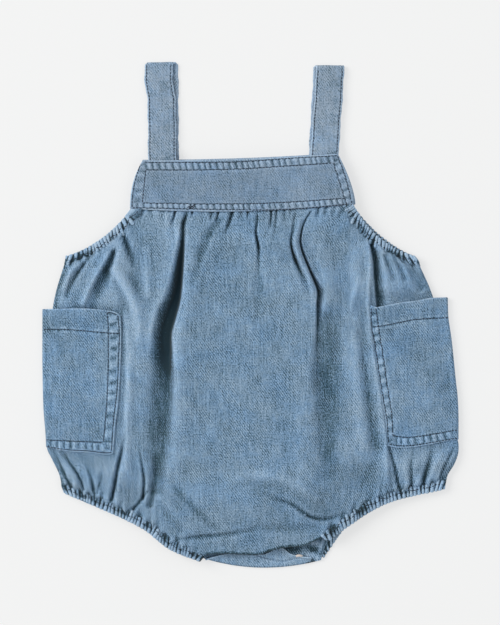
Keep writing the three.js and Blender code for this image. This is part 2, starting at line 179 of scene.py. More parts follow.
# ---------------------------------------------------------------- front panel
# The whole front of body and legs: one layer of light-wash denim, gathered into the yoke's lower seam
# and into the elastic armhole and leg bands, so it lies in one deep pleat, a rolled pleat and many tucks.
CLOTH = 1.2  # the denim's thickness, with its loft
GAP = 0.3  # air left between two layers
WORN_AND_LIT_WHITE = (206, 224, 240)  # the white that wear and painted highlight bring the blue towards


def denim(name, middle, speckle=1.0, wash=1.0):
    """Yarn-dyed twill. middle is its usual colour. The mark called wear pales it where it is
    above 0 and darkens it where it is below: partly real wash wear, partly painted highlight and
    painted shade over folds, creases and gaps. speckle is the strength of its grain, wash that of its
    clouds."""
    bench = Bench(name)
    weave = bench.node("Attribute", {"attribute_name": "weave"}, None, "Vector")
    wear = bench.node("Attribute", {"attribute_name": "wear"}, None, "Fac")

    def noise(per_mm, along, detail, offset):
        placed = bench.node("VectorMath", {"operation": "MULTIPLY_ADD"}, {
            0: weave, 1: (per_mm, per_mm * along, 1.0), 2: (offset, offset * 0.7, 0.0)})
        return bench.node("TexNoise", {"noise_dimensions": "2D"}, {
            "Vector": placed, "Scale": 1.0, "Detail": detail, "Roughness": 0.55}) - 0.5

    def rib(across, up, offset):
        placed = bench.node("VectorMath", {"operation": "MULTIPLY_ADD"}, {
            0: weave, 1: (across, up, 0.0), 2: (offset, 0.0, 0.0)})
        return bench.node("TexWave", {"wave_type": "BANDS", "bands_direction": "DIAGONAL"}, {
            "Vector": placed, "Scale": 0.31, "Distortion": 3.2, "Detail": 2.0, "Detail Scale": 1.4},
            "Fac") - 0.5

    slub = noise(0.75, 0.07, 2.0, 3.1)
    cross_slub = noise(0.09, 10.0, 2.0, 8.4)
    speck = noise(0.95, 0.85, 2.0, 5.7)
    cloud = noise(0.022, 1.0, 3.0, 1.3)
    patch = noise(0.11, 0.8, 3.0, 9.2)
    twill = rib(1.0, 0.72, 2.0) * smooth_share(bench, noise(0.05, 1.2, 1.0, 6.1))
    grain = (slub * 0.42 + cross_slub * 0.20 + speck * 0.95 + twill * 0.36) * speckle
    tone = wear * 0.26 + grain + cloud * (0.30 * wash) + patch * (0.26 * wash) + 0.5
    red, green, blue = middle

    def shade(scale, whiten, teal=0.0):
        return linear(*[c * scale + (pale - c * scale) * whiten
                        for c, pale in zip((red * (1 - teal), green, blue), WORN_AND_LIT_WHITE)])

    # The two darkest, teal stops give the painted shade of deep folds and creases; the two palest give the
    # bleach of wear and painted highlight.
    colour = bench.node("ValToRGB", {"stops": [
        (0.0, shade(0.37, 0.0, 0.26)), (0.22, shade(0.66, 0.0, 0.14)), (0.5, shade(1.0, 0.0)),
        (0.75, shade(1.06, 0.22)), (1.0, shade(1.1, 0.55))]}, {"Fac": tone})
    blue_cloud = noise(0.035, 1.3, 2.0, 4.4) + noise(0.3, 1.0, 1.0, 7.7) * 0.6
    blue_share = bench.node("Math", {"operation": "ADD", "use_clamp": True}, {
        0: blue_cloud * (1.5 * wash), 1: 0.3 * wash})
    blue_wash = bench.node("Mix", {"data_type": "RGBA", "blend_type": "MULTIPLY"}, {
        0: blue_share, 6: colour, 7: (0.78, 0.95, 1.12, 1.0)}, 2)
    normal = bench.node("Bump", None, {
        "Height": twill * 0.8 + speck * 1.6 + slub * 0.9, "Strength": 0.5, "Distance": 0.35 * MM},
        "Normal")
    return bench.finish(bench.node("BsdfPrincipled", None, {
        "Base Color": blue_wash, "Roughness": 0.92, "Normal": normal, "Specular IOR Level": 0.18,
        "Sheen Weight": 0.12, "Sheen Roughness": 0.6}))


def smooth_share(bench, value):
    """Turns a noise about 0 into a share from 0 to 1."""
    return bench.node("MapRange", {"interpolation_type": "SMOOTHSTEP"}, {
        "Value": value, "From Min": -0.12, "From Max": 0.1, "To Min": 0.25, "To Max": 1.0})


def smooth(t):
    t = np.clip(t, 0.0, 1.0)
    return t * t * (3 - 2 * t)


def mix(a, b, t):
    return a + (b - a) * t


def bow(start, pull, end, count=61):
    """A curve from start to end, pulled towards a third point."""
    t = np.linspace(0, 1, count)[:, None]
    start, pull, end = (np.array(p, float) for p in (start, pull, end))
    return (1 - t) ** 2 * start + 2 * t * (1 - t) * pull + t ** 2 * end


def through(points, count=61):
    """A smooth curve through every point. Columns after x and y run along with it."""
    points = np.array(points, float)
    padded = np.vstack([2 * points[0] - points[1], points, 2 * points[-1] - points[-2]])
    spans = len(points) - 1
    place = np.linspace(0, spans, count)
    i = np.minimum(place.astype(int), spans - 1)
    t = (place - i)[:, None]
    a, b, c, d = padded[i], padded[i + 1], padded[i + 2], padded[i + 3]
    return 0.5 * (2 * b + (c - a) * t + (2 * a - 5 * b + 4 * c - d) * t ** 2
                  + (3 * b - a - 3 * c + d) * t ** 3)


def graph(curve, known, wanted):
    """Reads a curve as a graph of one coordinate against the other."""
    order = np.argsort(curve[:, known])
    return lambda at: np.interp(at, curve[order, known], curve[order, wanted])


def beside(x, y, curve):
    """How far points lie from a curve, on which side of it, and how far along it in steps."""
    distance = np.full(x.shape, 1e9)
    side = np.zeros_like(distance)
    along = np.zeros_like(distance)
    for i in range(len(curve) - 1):
        ax, ay = curve[i, :2]
        bx, by = curve[i + 1, :2] - curve[i, :2]
        t = np.clip(((x - ax) * bx + (y - ay) * by) / (bx * bx + by * by + 1e-9), 0, 1)
        dx, dy = x - ax - t * bx, y - ay - t * by
        away = np.hypot(dx, dy)
        closer = away < distance
        distance = np.where(closer, away, distance)
        side = np.where(closer, np.sign(bx * dy - by * dx), side)
        along = np.where(closer, i + t, along)
    return distance, side, along


def fold(x, y, rows, crisp=0.0):
    """One fold over a plan of points: rows of (x, y, rise, reach on the low side, reach on the high
    side), read downwards or to the right. crisp 1 gives it a sharp line, 0 a round one."""
    curve = through(rows, 10 * len(rows))
    reach = curve[:, 3:5].max() + 1
    near = ((x > curve[:, 0].min() - reach) & (x < curve[:, 0].max() + reach)
            & (y > curve[:, 1].min() - reach) & (y < curve[:, 1].max() + reach))
    change = np.zeros_like(x)
    if not near.any():
        return change
    distance, side, along = beside(x[near], y[near], curve)
    rise, low, high = (np.interp(along, np.arange(len(curve)), curve[:, k]) for k in (2, 3, 4))
    closeness = np.clip(1 - distance / np.maximum(np.where(side > 0, high, low), 0.1), 0, 1)
    shape = mix(smooth(closeness), closeness ** 1.6, crisp)
    ends = smooth(along / 3) * smooth((len(curve) - 1 - along) / 3)
    change[near] = rise * shape * ends
    return change


def groove(x, y, row, depth=0.3, reach=1.3):
    """The narrow dip that a row of stitches pulls into the cloth."""
    return fold(x, y, [(*point, -depth, reach, reach) for point in row], 0.3)


def relief(z, reach):
    """How far each point stands above the cloth around it."""
    around = z.copy()
    for axis in (0, 1):
        padded = np.pad(around, [(reach, reach) if a == axis else (0, 0) for a in (0, 1)], mode="edge")
        total = np.cumsum(padded, axis=axis)
        ahead = np.take(total, range(2 * reach, total.shape[axis]), axis=axis)
        behind = np.take(total, range(0, total.shape[axis] - 2 * reach), axis=axis)
        around = (ahead - behind) / (2 * reach)
    return z - around


def cloth_piece(name, face, back, material, weave, wear, bulge=0.45):
    """A piece of cloth with a face, a back and a rounded raw edge, from two grids of points in mm."""
    rows, columns = face.shape[:2]
    middle = (face + back) / 2

    def outward(edge, inside):
        away = edge - inside
        return edge + bulge * away / np.maximum(np.linalg.norm(away, axis=-1, keepdims=True), 1e-6)

    rim = np.zeros((rows + 2, columns + 2, 3))
    rim[0, 1:-1] = outward(middle[0], middle[1])
    rim[-1, 1:-1] = outward(middle[-1], middle[-2])
    rim[1:-1, 0] = outward(middle[:, 0], middle[:, 1])
    rim[1:-1, -1] = outward(middle[:, -1], middle[:, -2])
    for r, c, ir, ic in ((0, 0, 1, 1), (0, -1, 1, -2), (-1, 0, -2, 1), (-1, -1, -2, -2)):
        rim[r, c] = outward(middle[r, c], middle[ir, ic])
    count = rows * columns
    on_face = np.full((rows + 2, columns + 2), -1)
    on_face[1:-1, 1:-1] = np.arange(count).reshape(rows, columns)
    border = np.argwhere(on_face < 0)
    on_back = on_face + count
    for k, (r, c) in enumerate(border):
        on_face[r, c] = on_back[r, c] = 2 * count + k
    points = np.vstack([face.reshape(-1, 3), back.reshape(-1, 3), rim[border[:, 0], border[:, 1]]])

    def quads(grid, turn):
        a, b, c, d = grid[:-1, :-1], grid[:-1, 1:], grid[1:, 1:], grid[1:, :-1]
        order = (a, d, c, b) if turn else (a, b, c, d)
        return np.stack(order, axis=-1).reshape(-1, 4)

    faces = np.vstack([quads(on_face, False), quads(on_back, True)])
    edge_rows = np.clip(border[:, 0] - 1, 0, rows - 1)
    edge_columns = np.clip(border[:, 1] - 1, 0, columns - 1)
    marks = {}
    for key, grid in (("weave", weave), ("wear", wear)):
        flat = grid.reshape(count, -1)
        rim_marks = grid[edge_rows, edge_columns].reshape(len(border), -1)
        marks[key] = np.vstack([flat, flat, rim_marks])
    return marked(lay_down(name, points, faces.tolist(), material), marks)


def lay_down(name, points, faces, material):
    """A piece of the romper from its points in mm."""
    mesh = bpy.data.meshes.new(name)
    mesh.from_pydata((np.array(points) * MM).tolist(), [], faces)
    mesh.polygons.foreach_set("use_smooth", [True] * len(mesh.polygons))
    mesh.materials.append(material)
    piece = bpy.data.objects.new(name, mesh)
    bpy.context.scene.collection.objects.link(piece)
    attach(piece, "root")
    return piece


def marked(piece, marks):
    """Gives a piece the marks that its material reads at each point."""
    mesh = piece.data
    for key, values in marks.items():
        if values.shape[1] == 1:
            mark = mesh.attributes.new(key, "FLOAT", "POINT")
            mark.data.foreach_set("value", values.ravel().astype(np.float32))
        else:
            padded = np.zeros((len(values), 3), np.float32)
            padded[:, :values.shape[1]] = values
            mark = mesh.attributes.new(key, "FLOAT_VECTOR", "POINT")
            mark.data.foreach_set("vector", padded.ravel())
    mesh.update()
    return piece


def cloth_lengths(middle):
    """Where each point lies on the flat cloth, measured along its threads."""
    across = np.linalg.norm(np.diff(middle, axis=1), axis=-1)
    along = np.linalg.norm(np.diff(middle, axis=0), axis=-1)
    u = np.concatenate([np.zeros((len(middle), 1)), np.cumsum(across, axis=1)], axis=1)
    v = np.concatenate([np.zeros((1, middle.shape[1])), np.cumsum(along, axis=0)], axis=0)
    u = u - u[:, [u.shape[1] // 2]] + middle[:, [u.shape[1] // 2], 0]
    v = v - v[[len(v) // 2]] + middle[[len(v) // 2], :, 1]
    return np.stack([u, v], axis=-1)


def facing(middle):
    """The way that the cloth faces at each point."""
    out = np.cross(np.gradient(middle, axis=1), np.gradient(middle, axis=0))
    return out / np.maximum(np.linalg.norm(out, axis=-1, keepdims=True), 1e-9)


def shell(name, middle, thickness, lift, material, wear, bulge=0.45):
    """A piece of cloth from the points through its middle. lift raises or sinks it on its outer side."""
    highest = np.unravel_index(middle[..., 2].argmax(), middle.shape[:2])
    if facing(middle)[highest][2] < 0:
        middle, lift, wear = middle[:, ::-1], lift[:, ::-1], wear[:, ::-1]
    middle = middle + facing(middle) * lift[..., None]
    out = facing(middle) * thickness / 2
    return cloth_piece(name, middle + out, middle - out, material, cloth_lengths(middle), wear, bulge)


# The seams that bound the panels, as the garment lies, and the pockets that lie over the flanks.
YOKE_FOOT = {"left": -97, "right": 84}  # how far across the yokes' lower corners lie
YOKE_HEAD = {"left": -87, "right": 71}  # and their upper ones
SEAM_BOW = ((YOKE_FOOT["left"], 86.3), (-20, 80.0), (YOKE_FOOT["right"], 90))
YOKE_SEAM = bow(*SEAM_BOW)
YOKE_TUCK = 1.3  # how far the panel dips to pass under the yoke
ARMHOLE = {
    "left": bow((YOKE_FOOT["left"], 85.6), (-118, 58), (-149, 47.5)),
    "right": bow((YOKE_FOOT["right"], 89.2), (104, 60), (134.5, 47)),
}
FRONT_LEG = {
    "left": through([(-152, -145), (-92, -171.5), (-66, -190.5), (-41, -200.5)]),
    "right": through([(158.5, -142), (112, -153.5), (80, -172), (64, -184)]),
}
BACK_LEG = {
    "left": FRONT_LEG["left"],
    "right": through([(158.5, -142), (112, -153.5), (80, -172), (60.5, -198)]),
}
SIDE = {
    "left": graph(through([(-152.5, -145), (-154.8, -131), (-160.8, -118), (-165, -108.5), (-163.4, -98),
                           (-163, -60), (-160.5, 4), (-149, 47.5)], 200), 1, 0),
    "right": graph(through([(158.5, -142), (160.6, -131), (166, -122), (169.2, -113), (169.3, -104),
                            (166.6, -96), (163.5, -84), (162, -50), (150, 10), (134.5, 47)], 200), 1, 0),
}
POCKET = {
    "left": {
        "inner": [(-111.3, -112.8), (-109.5, -90), (-107, -70), (-105.3, -40), (-104.7, -15),
                  (-105.2, -0.8)],
        "outer": [(-165.9, -107.8), (-166.6, -95), (-168.2, -75), (-169, -40), (-169, -10),
                  (-169, 4)],
        "bottom": [(-111.3, -112.8), (-117.5, -113.4), (-131.6, -111.8), (-144.7, -111.2),
                   (-157, -109.8), (-165.9, -107.8)],
        "top": [(-105.2, -0.8), (-109, 1.4), (-115.3, 2.8), (-134.6, 4.5), (-159, 4.2), (-169, 4)],
    },
    "right": {
        "inner": [(111, -106.3), (110, -87), (107.4, -71), (104.2, -53), (101.2, -35),
                  (97.6, -10), (97, 7.7)],
        "outer": [(169.7, -101.5), (169.7, -81.6), (169, -66.4), (167.5, -53.2), (164.4, -22.7),
                  (161.6, -2.7), (161, 13.6)],
        "bottom": [(111, -106.3), (122, -107.9), (134, -107.3), (146.2, -105.4), (159.4, -103),
                   (169.7, -101.5)],
        "top": [(97, 7.7), (102.5, 5.6), (107.6, 6.4), (123.8, 9.4), (137, 10.9), (148.2, 13),
                (161, 13.6)],
    },
}
FRONT_HEM = through([(-36.5, -194.4), (-20, -194), (-4, -194.6), (6, -194.8), (15, -192.2),
                     (24, -189.6), (33, -188.4), (42, -188), (50, -184.8), (58, -180.4), (64, -176)])
BACK_HEM = bow((-39.4, -197.6), (8, -212.8), (58, -199.5))
INWARD = {  # which way the cloth lies from each curve, as it is walked
    ("armhole", "left"): 1, ("armhole", "right"): -1, ("leg", "left"): 1, ("leg", "right"): -1}


def inset_curve(curve, inward, inset):
    """The curve moved in from the garment's edge."""
    ahead = np.gradient(curve, axis=0)
    normal = np.stack([-ahead[:, 1], ahead[:, 0]], axis=1) * inward
    return curve + inset * normal / np.linalg.norm(normal, axis=1, keepdims=True)


def bounded(seam, hem, legs, inset):
    """Top and bottom of a panel at any place across it."""
    arms = {h: graph(inset_curve(ARMHOLE[h], INWARD["armhole", h], inset), 0, 1) for h in ARMHOLE}
    legs = {h: graph(inset_curve(legs[h], INWARD["leg", h], inset), 0, 1) for h in legs}
    seam, hem_line = graph(seam, 0, 1), graph(hem, 0, 1)
    arm_at = {"left": YOKE_FOOT["left"] + 0.8 * inset, "right": YOKE_FOOT["right"] - 0.8 * inset}
    leg_at = {"left": hem[0, 0], "right": hem[-1, 0]}
    top = lambda x: np.where(x < arm_at["left"], np.minimum(arms["left"](x), seam(x)), np.where(
        x > arm_at["right"], np.minimum(arms["right"](x), seam(x)), seam(x)))
    bottom = lambda x: np.where(x < leg_at["left"], legs["left"](x), np.where(
        x > leg_at["right"], legs["right"](x), hem_line(x)))
    return top, bottom


def panel_plan(lines, top, bottom, rows):
    """Plan points of a panel. lines are (x at a height, columns to the next line). Rows lie closer
    near its top and bottom."""
    v = np.linspace(0, 1, rows)
    v = mix(v, 0.5 - 0.5 * np.cos(np.pi * v), 0.25)
    stops = []
    for x_at, _ in lines:
        x = x_at(np.zeros(rows))
        for _ in range(5):  # a line's place depends on its height, and its height on its place
            x = x_at(mix(bottom(x), top(x), v))
        stops.append(x)
    columns = []
    for (_, steps), here, there in zip(lines[:-1], stops[:-1], stops[1:]):
        columns += [mix(here, there, k / steps) for k in range(steps)]
    x = np.stack(columns + [stops[-1]], axis=1)
    return x, mix(bottom(x), top(x), v[:, None])


# Heights that the layers share: the front's edges stand off the back, its flanks rise to a low crown.
EDGE_SIDE, EDGE_RISE = 3.4, 5.0
SIDE_SEAM = 3.0
FLANK_WIDTH, FLANK_SLOPE = 54, 0.11
CROWN_RISE, CROWN_RUN = 8.0, 60
FLANK_PUFF = 3.6  # how the cloth blouses between a pocket and the bands
OVER_BACK = 3.2  # the front never dips below the back panel's upper side


def edge_height(x):
    return EDGE_SIDE + EDGE_RISE * smooth((150 - np.abs(x)) / 90)


def loft(x, y):
    inset = np.minimum(x - SIDE["left"](y), SIDE["right"](y) - x)
    return (SIDE_SEAM + FLANK_SLOPE * np.minimum(inset, FLANK_WIDTH)
            + CROWN_RISE * smooth((inset - FLANK_WIDTH) / CROWN_RUN))


FRONT_FOLDS = [  # (how crisp, rows of x, y, rise, reach low side, reach high side)
    # the deep pleat left of the middle and the rim that overhangs it
    (0.0, [(-50, 85, -2, 3, 3), (-54, 74, -4.5, 3, 3.5), (-54.3, 62, -5.5, 4, 3),
           (-55.2, 46, -8.5, 7, 3), (-56.5, 30, -12, 9.5, 3.5), (-58.5, 13, -14.5, 13, 4),
           (-61.8, 0, -15, 16, 4), (-66, -15, -15, 16, 4.5), (-66, -30, -12.5, 18, 5),
           (-66, -46, -9, 20, 6), (-67, -66, -7, 21, 7), (-70, -95, -5.5, 19, 8),
           (-73, -125, -4, 14, 8), (-76, -150, -2.4, 9, 8)]),
    (0.0, [(-50, 66, 0.4, 5, 9), (-49, 40, 0.9, 4, 12), (-50, 15, 1.2, 3, 13), (-54, -4, 1.2, 3, 13),
           (-59, -20, 1.2, 3, 13), (-59, -42, 1.4, 3, 13), (-59, -80, 1.3, 4, 13), (-61, -112, 1, 4, 12),
           (-66, -138, 0.8, 4, 10), (-69, -160, 0.5, 4, 8)]),
    # the rolled pleat right of the middle: slit, roll, slit
    (0.8, [(37, 84, -1.5, 1.5, 1.5), (35, 71, -1.6, 1.3, 1.5), (33, 60, -3, 1.2, 2), (34, 51, -5, 1.2, 3),
           (37, 43, -5.2, 1.5, 3.4), (41, 33, -3.2, 2, 4), (45, 26, -1.6, 4, 4), (50, 14, -0.6, 5, 5)]),
    (0.9, [(51, 86, -2.4, 1.2, 1.6), (45, 77, -3, 1.1, 1.8), (42, 69, -4, 1.1, 1.8),
           (40.7, 61, -5, 1.1, 1.8), (41.7, 53, -6, 1.1, 2), (45, 44, -6.5, 1.1, 2.2),
           (49, 34, -7, 1.2, 2.6), (52.5, 26, -8, 1.3, 4), (55, 18, -8.5, 1.4, 7),
           (54.5, 9, -7.5, 1.5, 7), (54.5, -3, -5, 1.6, 5), (54.5, -20, -3, 3, 8),
           (55, -40, -1.6, 8, 14), (57, -70, -0.8, 9, 14)]),
    (0.0, [(41, 80, 1, 3, 3), (38, 66, 2.2, 3.4, 3), (37, 57, 2.8, 3.4, 3.4), (40, 46, 3.2, 3.8, 3.8),
           (45, 36, 3.2, 4, 3.4), (49, 27, 2.4, 5, 2.6), (52, 14, 1, 5, 2)]),
    (0.0, [(58, 60, 0.6, 5, 12), (57, 44, 1.2, 5, 14), (62, 26, 1.2, 4, 14), (63, 8, 0.8, 4, 12)]),
    # the tuck at the middle
    (0.5, [(5.5, 85, -2.4, 1.6, 1.6), (6, 76, -2.2, 1.6, 1.6), (4.8, 69, -3, 1.6, 1.6),
           (5.3, 63, -5.5, 1.7, 1.7), (6.5, 57, -6, 1.9, 1.9), (7.2, 50, -3, 2.6, 2.6),
           (7, 40, -1.6, 4, 4), (7, 20, -1, 7, 7), (7, -10, -0.5, 8, 8)]),
    # long soft swells down the front
    (0.0, [(-22, 80, -1.4, 4, 3), (-33, 64, -1.6, 7, 4), (-38, 50, -1.6, 9, 4), (-43, 36, -1.3, 9, 5),
           (-48, 22, -0.8, 8, 5)]),
    (0.0, [(62, 10, -1.6, 10, 14), (60, -40, -3.6, 13, 19), (60, -90, -3.6, 12, 20),
           (64, -140, -1.6, 12, 16)]),
    (0.0, [(43, -30, 0.2, 13, 12), (42, -60, 0.7, 13, 12), (41, -95, 1.0, 13, 12),
           (43, -130, 0.8, 12, 12), (48, -150, 0.3, 10, 10)]),
    (0.0, [(88, 62, 1, 12, 9), (87, 30, 2.4, 14, 8), (85, -5, 3, 15, 9), (86, -45, 3, 15, 9),
           (91, -90, 2.6, 14, 9), (96, -125, 1.4, 12, 8)]),
    # ridges and hollows of the left flank
    (0.0, [(-113, 40, 1.5, 5, 5), (-103, 27, 3, 6, 8), (-95.5, 12, 3.6, 7, 10), (-92, -3, 3.4, 8, 10),
           (-91, -25, 2.2, 8, 9), (-92, -55, 1.2, 7, 8)]),
    (0.0, [(-101, 6, 1, 4, 5), (-99, -20, 2, 4, 6), (-99, -60, 2.4, 4, 7), (-101, -100, 2, 4, 7),
           (-100, -130, 1.2, 5, 6)]),
    (0.0, [(-84, 58, 0.8, 6, 6), (-84, 34, 1.4, 6, 6), (-83, 10, 1, 6, 6)]),
    (0.5, [(-104, 66, -3, 2.5, 3), (-100, 56, -5.5, 3, 4), (-97, 47, -3, 3, 5), (-94, 38, -1, 3, 5)]),
    (0.2, [(-109, 54, -3, 3, 3), (-113.5, 43, -5, 5, 5), (-118.5, 32, -4.6, 7, 8),
           (-122.5, 22, -3.6, 8, 9), (-126, 10, -2.2, 8, 9), (-128, -6, -1, 7, 8)]),
    (0.7, [(-113, 52, 1, 4, 2), (-118, 42, 2.8, 6, 2), (-125, 30, 3.6, 8, 2.4), (-131, 18, 3.2, 8, 3),
           (-136, 5, 2.6, 7, 3)]),
    (0.5, [(-129, 48, -2.4, 2, 2.4), (-137, 38, -3.4, 3, 3), (-145, 25, -2.6, 4, 4),
           (-150, 12, -1.5, 4, 4)]),
    (0.0, [(-137, 46, 1, 3, 3), (-147, 32, 1.8, 4, 4), (-153, 18, 1.4, 4, 4)]),
    # the fold beside the right pocket and the hollow under the arm
    (0.0, [(95, 64, 1, 6, 3), (97.5, 42, 2.6, 9, 2.6), (96.5, 20, 3, 10, 2.4), (96.5, 2, 3, 10, 2.4),
           (98.5, -20, 3.2, 10, 2.4), (101.5, -40, 3.2, 10, 2.4), (105, -62, 3.2, 10, 2.4),
           (108, -84, 3, 10, 2.4), (110.5, -104, 3, 9, 2.6), (111, -124, 2.4, 8, 3),
           (112, -142, 1.4, 6, 3)]),
    (0.4, [(95.5, 68, -3, 1.8, 3), (98.5, 55, -6, 1.6, 5), (100.5, 45, -7, 1.5, 7),
           (101.5, 30, -7, 1.5, 9), (103, 14, -6, 2, 10), (104, 4, -4, 2, 9)]),
    (0.2, [(109, 50, -2, 3, 3), (113, 38, -2.2, 3, 4), (118, 26, -1.2, 4, 4)]),
    (0.2, [(117, 48, -1.5, 3, 3), (122, 38, -2.2, 4, 4), (127, 26, -1.4, 4, 4)]),
    (0.0, [(127, 46, -2, 4, 5), (133, 32, -2.8, 6, 7), (141, 18, -2, 7, 6)]),
    (0.0, [(89, 34, 0.8, 3, 3), (84, 16, 1.1, 3, 4), (80, 2, 0.6, 3, 4)]),
    # drag lines of the leg bands
    (0.7, [(-164, -104, -0.6, 1.8, 2.6), (-157, -118, -2.6, 1.8, 2.6), (-151, -130, -4, 1.8, 2.6),
           (-145, -143, -4.6, 1.8, 2.6)]),
    (0.0, [(-156, -112, 0.3, 3, 4), (-147, -127, 1.0, 3, 4), (-141, -140, 1.2, 3, 4)]),
    (0.7, [(-155, -108, -0.3, 1.5, 2.4), (-147, -120, -2, 1.5, 2.4), (-139, -132, -3.6, 1.5, 2.4),
           (-134.5, -145, -4.4, 1.8, 2.6)]),
    (0.6, [(-135, -118, -0.3, 2, 2.5), (-130, -130, -1.8, 2, 2.5), (-127.5, -140, -3.4, 2.5, 2.5),
           (-126, -151, -4, 1.5, 2.4)]),
    (0.6, [(-119, -118, -0.2, 1.5, 2.4), (-121, -132, -1.6, 1.8, 2.6), (-125, -148, -3, 1.8, 2.6)]),
    (0.6, [(-101, -92, -0.4, 1.8, 2.6), (-103.5, -108, -2.4, 2, 2.6), (-107, -124, -4.2, 3.5, 2.6),
           (-110, -140, -5, 3.5, 2.6), (-113, -153, -5, 2, 2.6)]),
    (0.6, [(-90, -108, -0.3, 2, 2), (-87.5, -122, -2, 2.2, 2.2), (-86, -136, -3.8, 2.2, 2.4),
           (-87.5, -152, -3.6, 2.5, 2.5)]),
    (0.0, [(-76, -110, -0.5, 5, 4), (-76, -126, -2, 6, 4), (-78, -142, -3, 6, 4),
           (-82, -159, -3, 5, 4)]),
    (0.3, [(-82, -142, -0.6, 2.5, 2.5), (-88, -150, -2.4, 2.5, 2.5), (-96, -160, -3, 2.5, 2.5)]),
    (0.0, [(-74, -142, 0.6, 8, 8), (-66, -155, 1.8, 8, 8), (-55, -168, 1.8, 7, 7),
           (-42, -177, 0.8, 6, 6)]),
    (0.2, [(-70, -128, -0.2, 5, 5), (-60, -142, -1.0, 6, 6), (-48, -155, -1.5, 6, 7),
           (-34, -168, -1.2, 6, 6), (-22, -176, -0.4, 5, 6)]),
    (0.4, [(-62, -183, -1.4, 3, 2.4), (-42, -180, -2, 5, 2.4), (-21, -178.3, -1.8, 5, 2.8),
           (-4, -175.6, -1.2, 4, 3), (8, -173, -0.6, 4, 3)]),
    (0.0, [(-24, -138, 0.4, 9, 9), (-4, -131, 1.4, 9, 8), (20, -131.5, 1.8, 9, 8),
           (40, -139, 1.6, 9, 8), (58, -153, 0.8, 8, 7)]),
    (0.7, [(8, -144, -0.2, 2, 3), (21, -149, -1.2, 2, 3), (33, -153.5, -2.4, 1.8, 3),
           (42, -160, -3.2, 1.5, 3.4), (50, -165, -3.2, 1.4, 3.6), (60, -166.5, -2.4, 1.5, 3.6),
           (70, -164.5, -1.4, 2, 3), (80, -161, -0.4, 2, 3)]),
    (0.0, [(-4, -172, -0.3, 6, 6), (20, -174, -0.9, 6, 7), (42, -174, -0.9, 6, 7),
           (62, -172, -0.3, 5, 6)]),
    (0.6, [(111, -104, -1, 1.8, 2.6), (115, -116, -2.6, 1.8, 2.6), (118.5, -130, -4, 1.8, 2.6),
           (121, -143, -4.6, 1.8, 2.6)]),
    (0.0, [(124, -114, 0.2, 4, 4), (126, -128, 1.0, 4, 4), (127, -140, 1.0, 1.8, 2.6)]),
    (0.6, [(133, -108, -0.4, 1.8, 2.6), (131, -120, -1.6, 1.5, 2.4), (130.5, -133, -3.2, 1.5, 2.4),
           (131, -146, -4, 1.8, 2.6)]),
    (0.3, [(150, -104, -0.6, 4, 4), (146, -118, -2, 3.5, 4), (142, -132, -3.2, 3, 3.5),
           (139, -144, -3.8, 1.8, 2.6)]),
    (0.7, [(168, -104, -1.2, 1.8, 2.6), (161, -117, -3, 1.8, 2.6), (155.5, -129, -4.2, 1.8, 2.6),
           (151, -142, -4.8, 1.8, 2.6)]),
    (0.0, [(158, -108, 0.4, 1.8, 2.6), (150, -125, 1.2, 4, 3), (145, -141, 1.0, 1.8, 2.6)]),
]

GATHER_DEPTH = 1.5  # deepens all of these alike
YOKE_GATHERS = [  # where each leaves the seam, where it ends, how deep, how wide
    (-88, -89, 76, 0.8, 3.0), (-80, -80, 77, 1.6, 2.0), (-71, -70, 70, 1.0, 2.6),
    (-60, -63.5, 72, 3.6, 1.8), (-66, -61, 60, 1.0, 3.0), (-46.5, -47, 78, 2.4, 1.8),
    (-38, -39, 74, 1.0, 2.6), (-32, -31.5, 76, 2.8, 1.8), (-29.4, -30, 78, 2.2, 1.4),
    (-25, -28, 74, 3.0, 1.6), (-13, -20.5, 64, 3.0, 2.2), (-7, -7, 76, 1.0, 2.4),
    (-2, -1.5, 77, 2.2, 1.5), (13.5, 14, 77, 2.0, 1.4), (17.5, 16.5, 68, 2.8, 1.8),
    (21.5, 20, 64, 2.0, 1.8), (28.5, 28, 75, 1.4, 2.0), (33, 32, 78, 1.2, 1.5),
    (56, 54, 78, 1.6, 2.0), (62, 60, 79, 1.4, 2.0), (69, 66, 79, 1.2, 2.2), (76, 71, 77, 1.2, 2.4),
]


def ripple(along, pitch, seed):
    """Uneven waves, -1 to 1, as gathered or shrunken cloth makes them."""
    draw = np.random.default_rng(seed)
    steps = draw.uniform(0.65, 1.35, int(np.ptp(along) / pitch * 1.6) + 8) * pitch
    places = along.min() - 2 * pitch + np.cumsum(steps)
    heights = draw.uniform(0.35, 1.0, len(places)) * np.where(np.arange(len(places)) % 2, 1, -1)
    return np.sin(np.interp(along, places, heights) * math.pi / 2)


def seam_puckers(distance, along, depth, length, pitch, seed):
    """Small gathers that run in from a seam and die out."""
    jitter = along + 0.8 * np.sin(distance * 0.35 + along * 0.2)
    run = length * (0.9 + 0.5 * ripple(along, 2.3 * pitch, seed + 50))
    return depth * ripple(jitter, pitch, seed) * smooth(1 - distance / run)


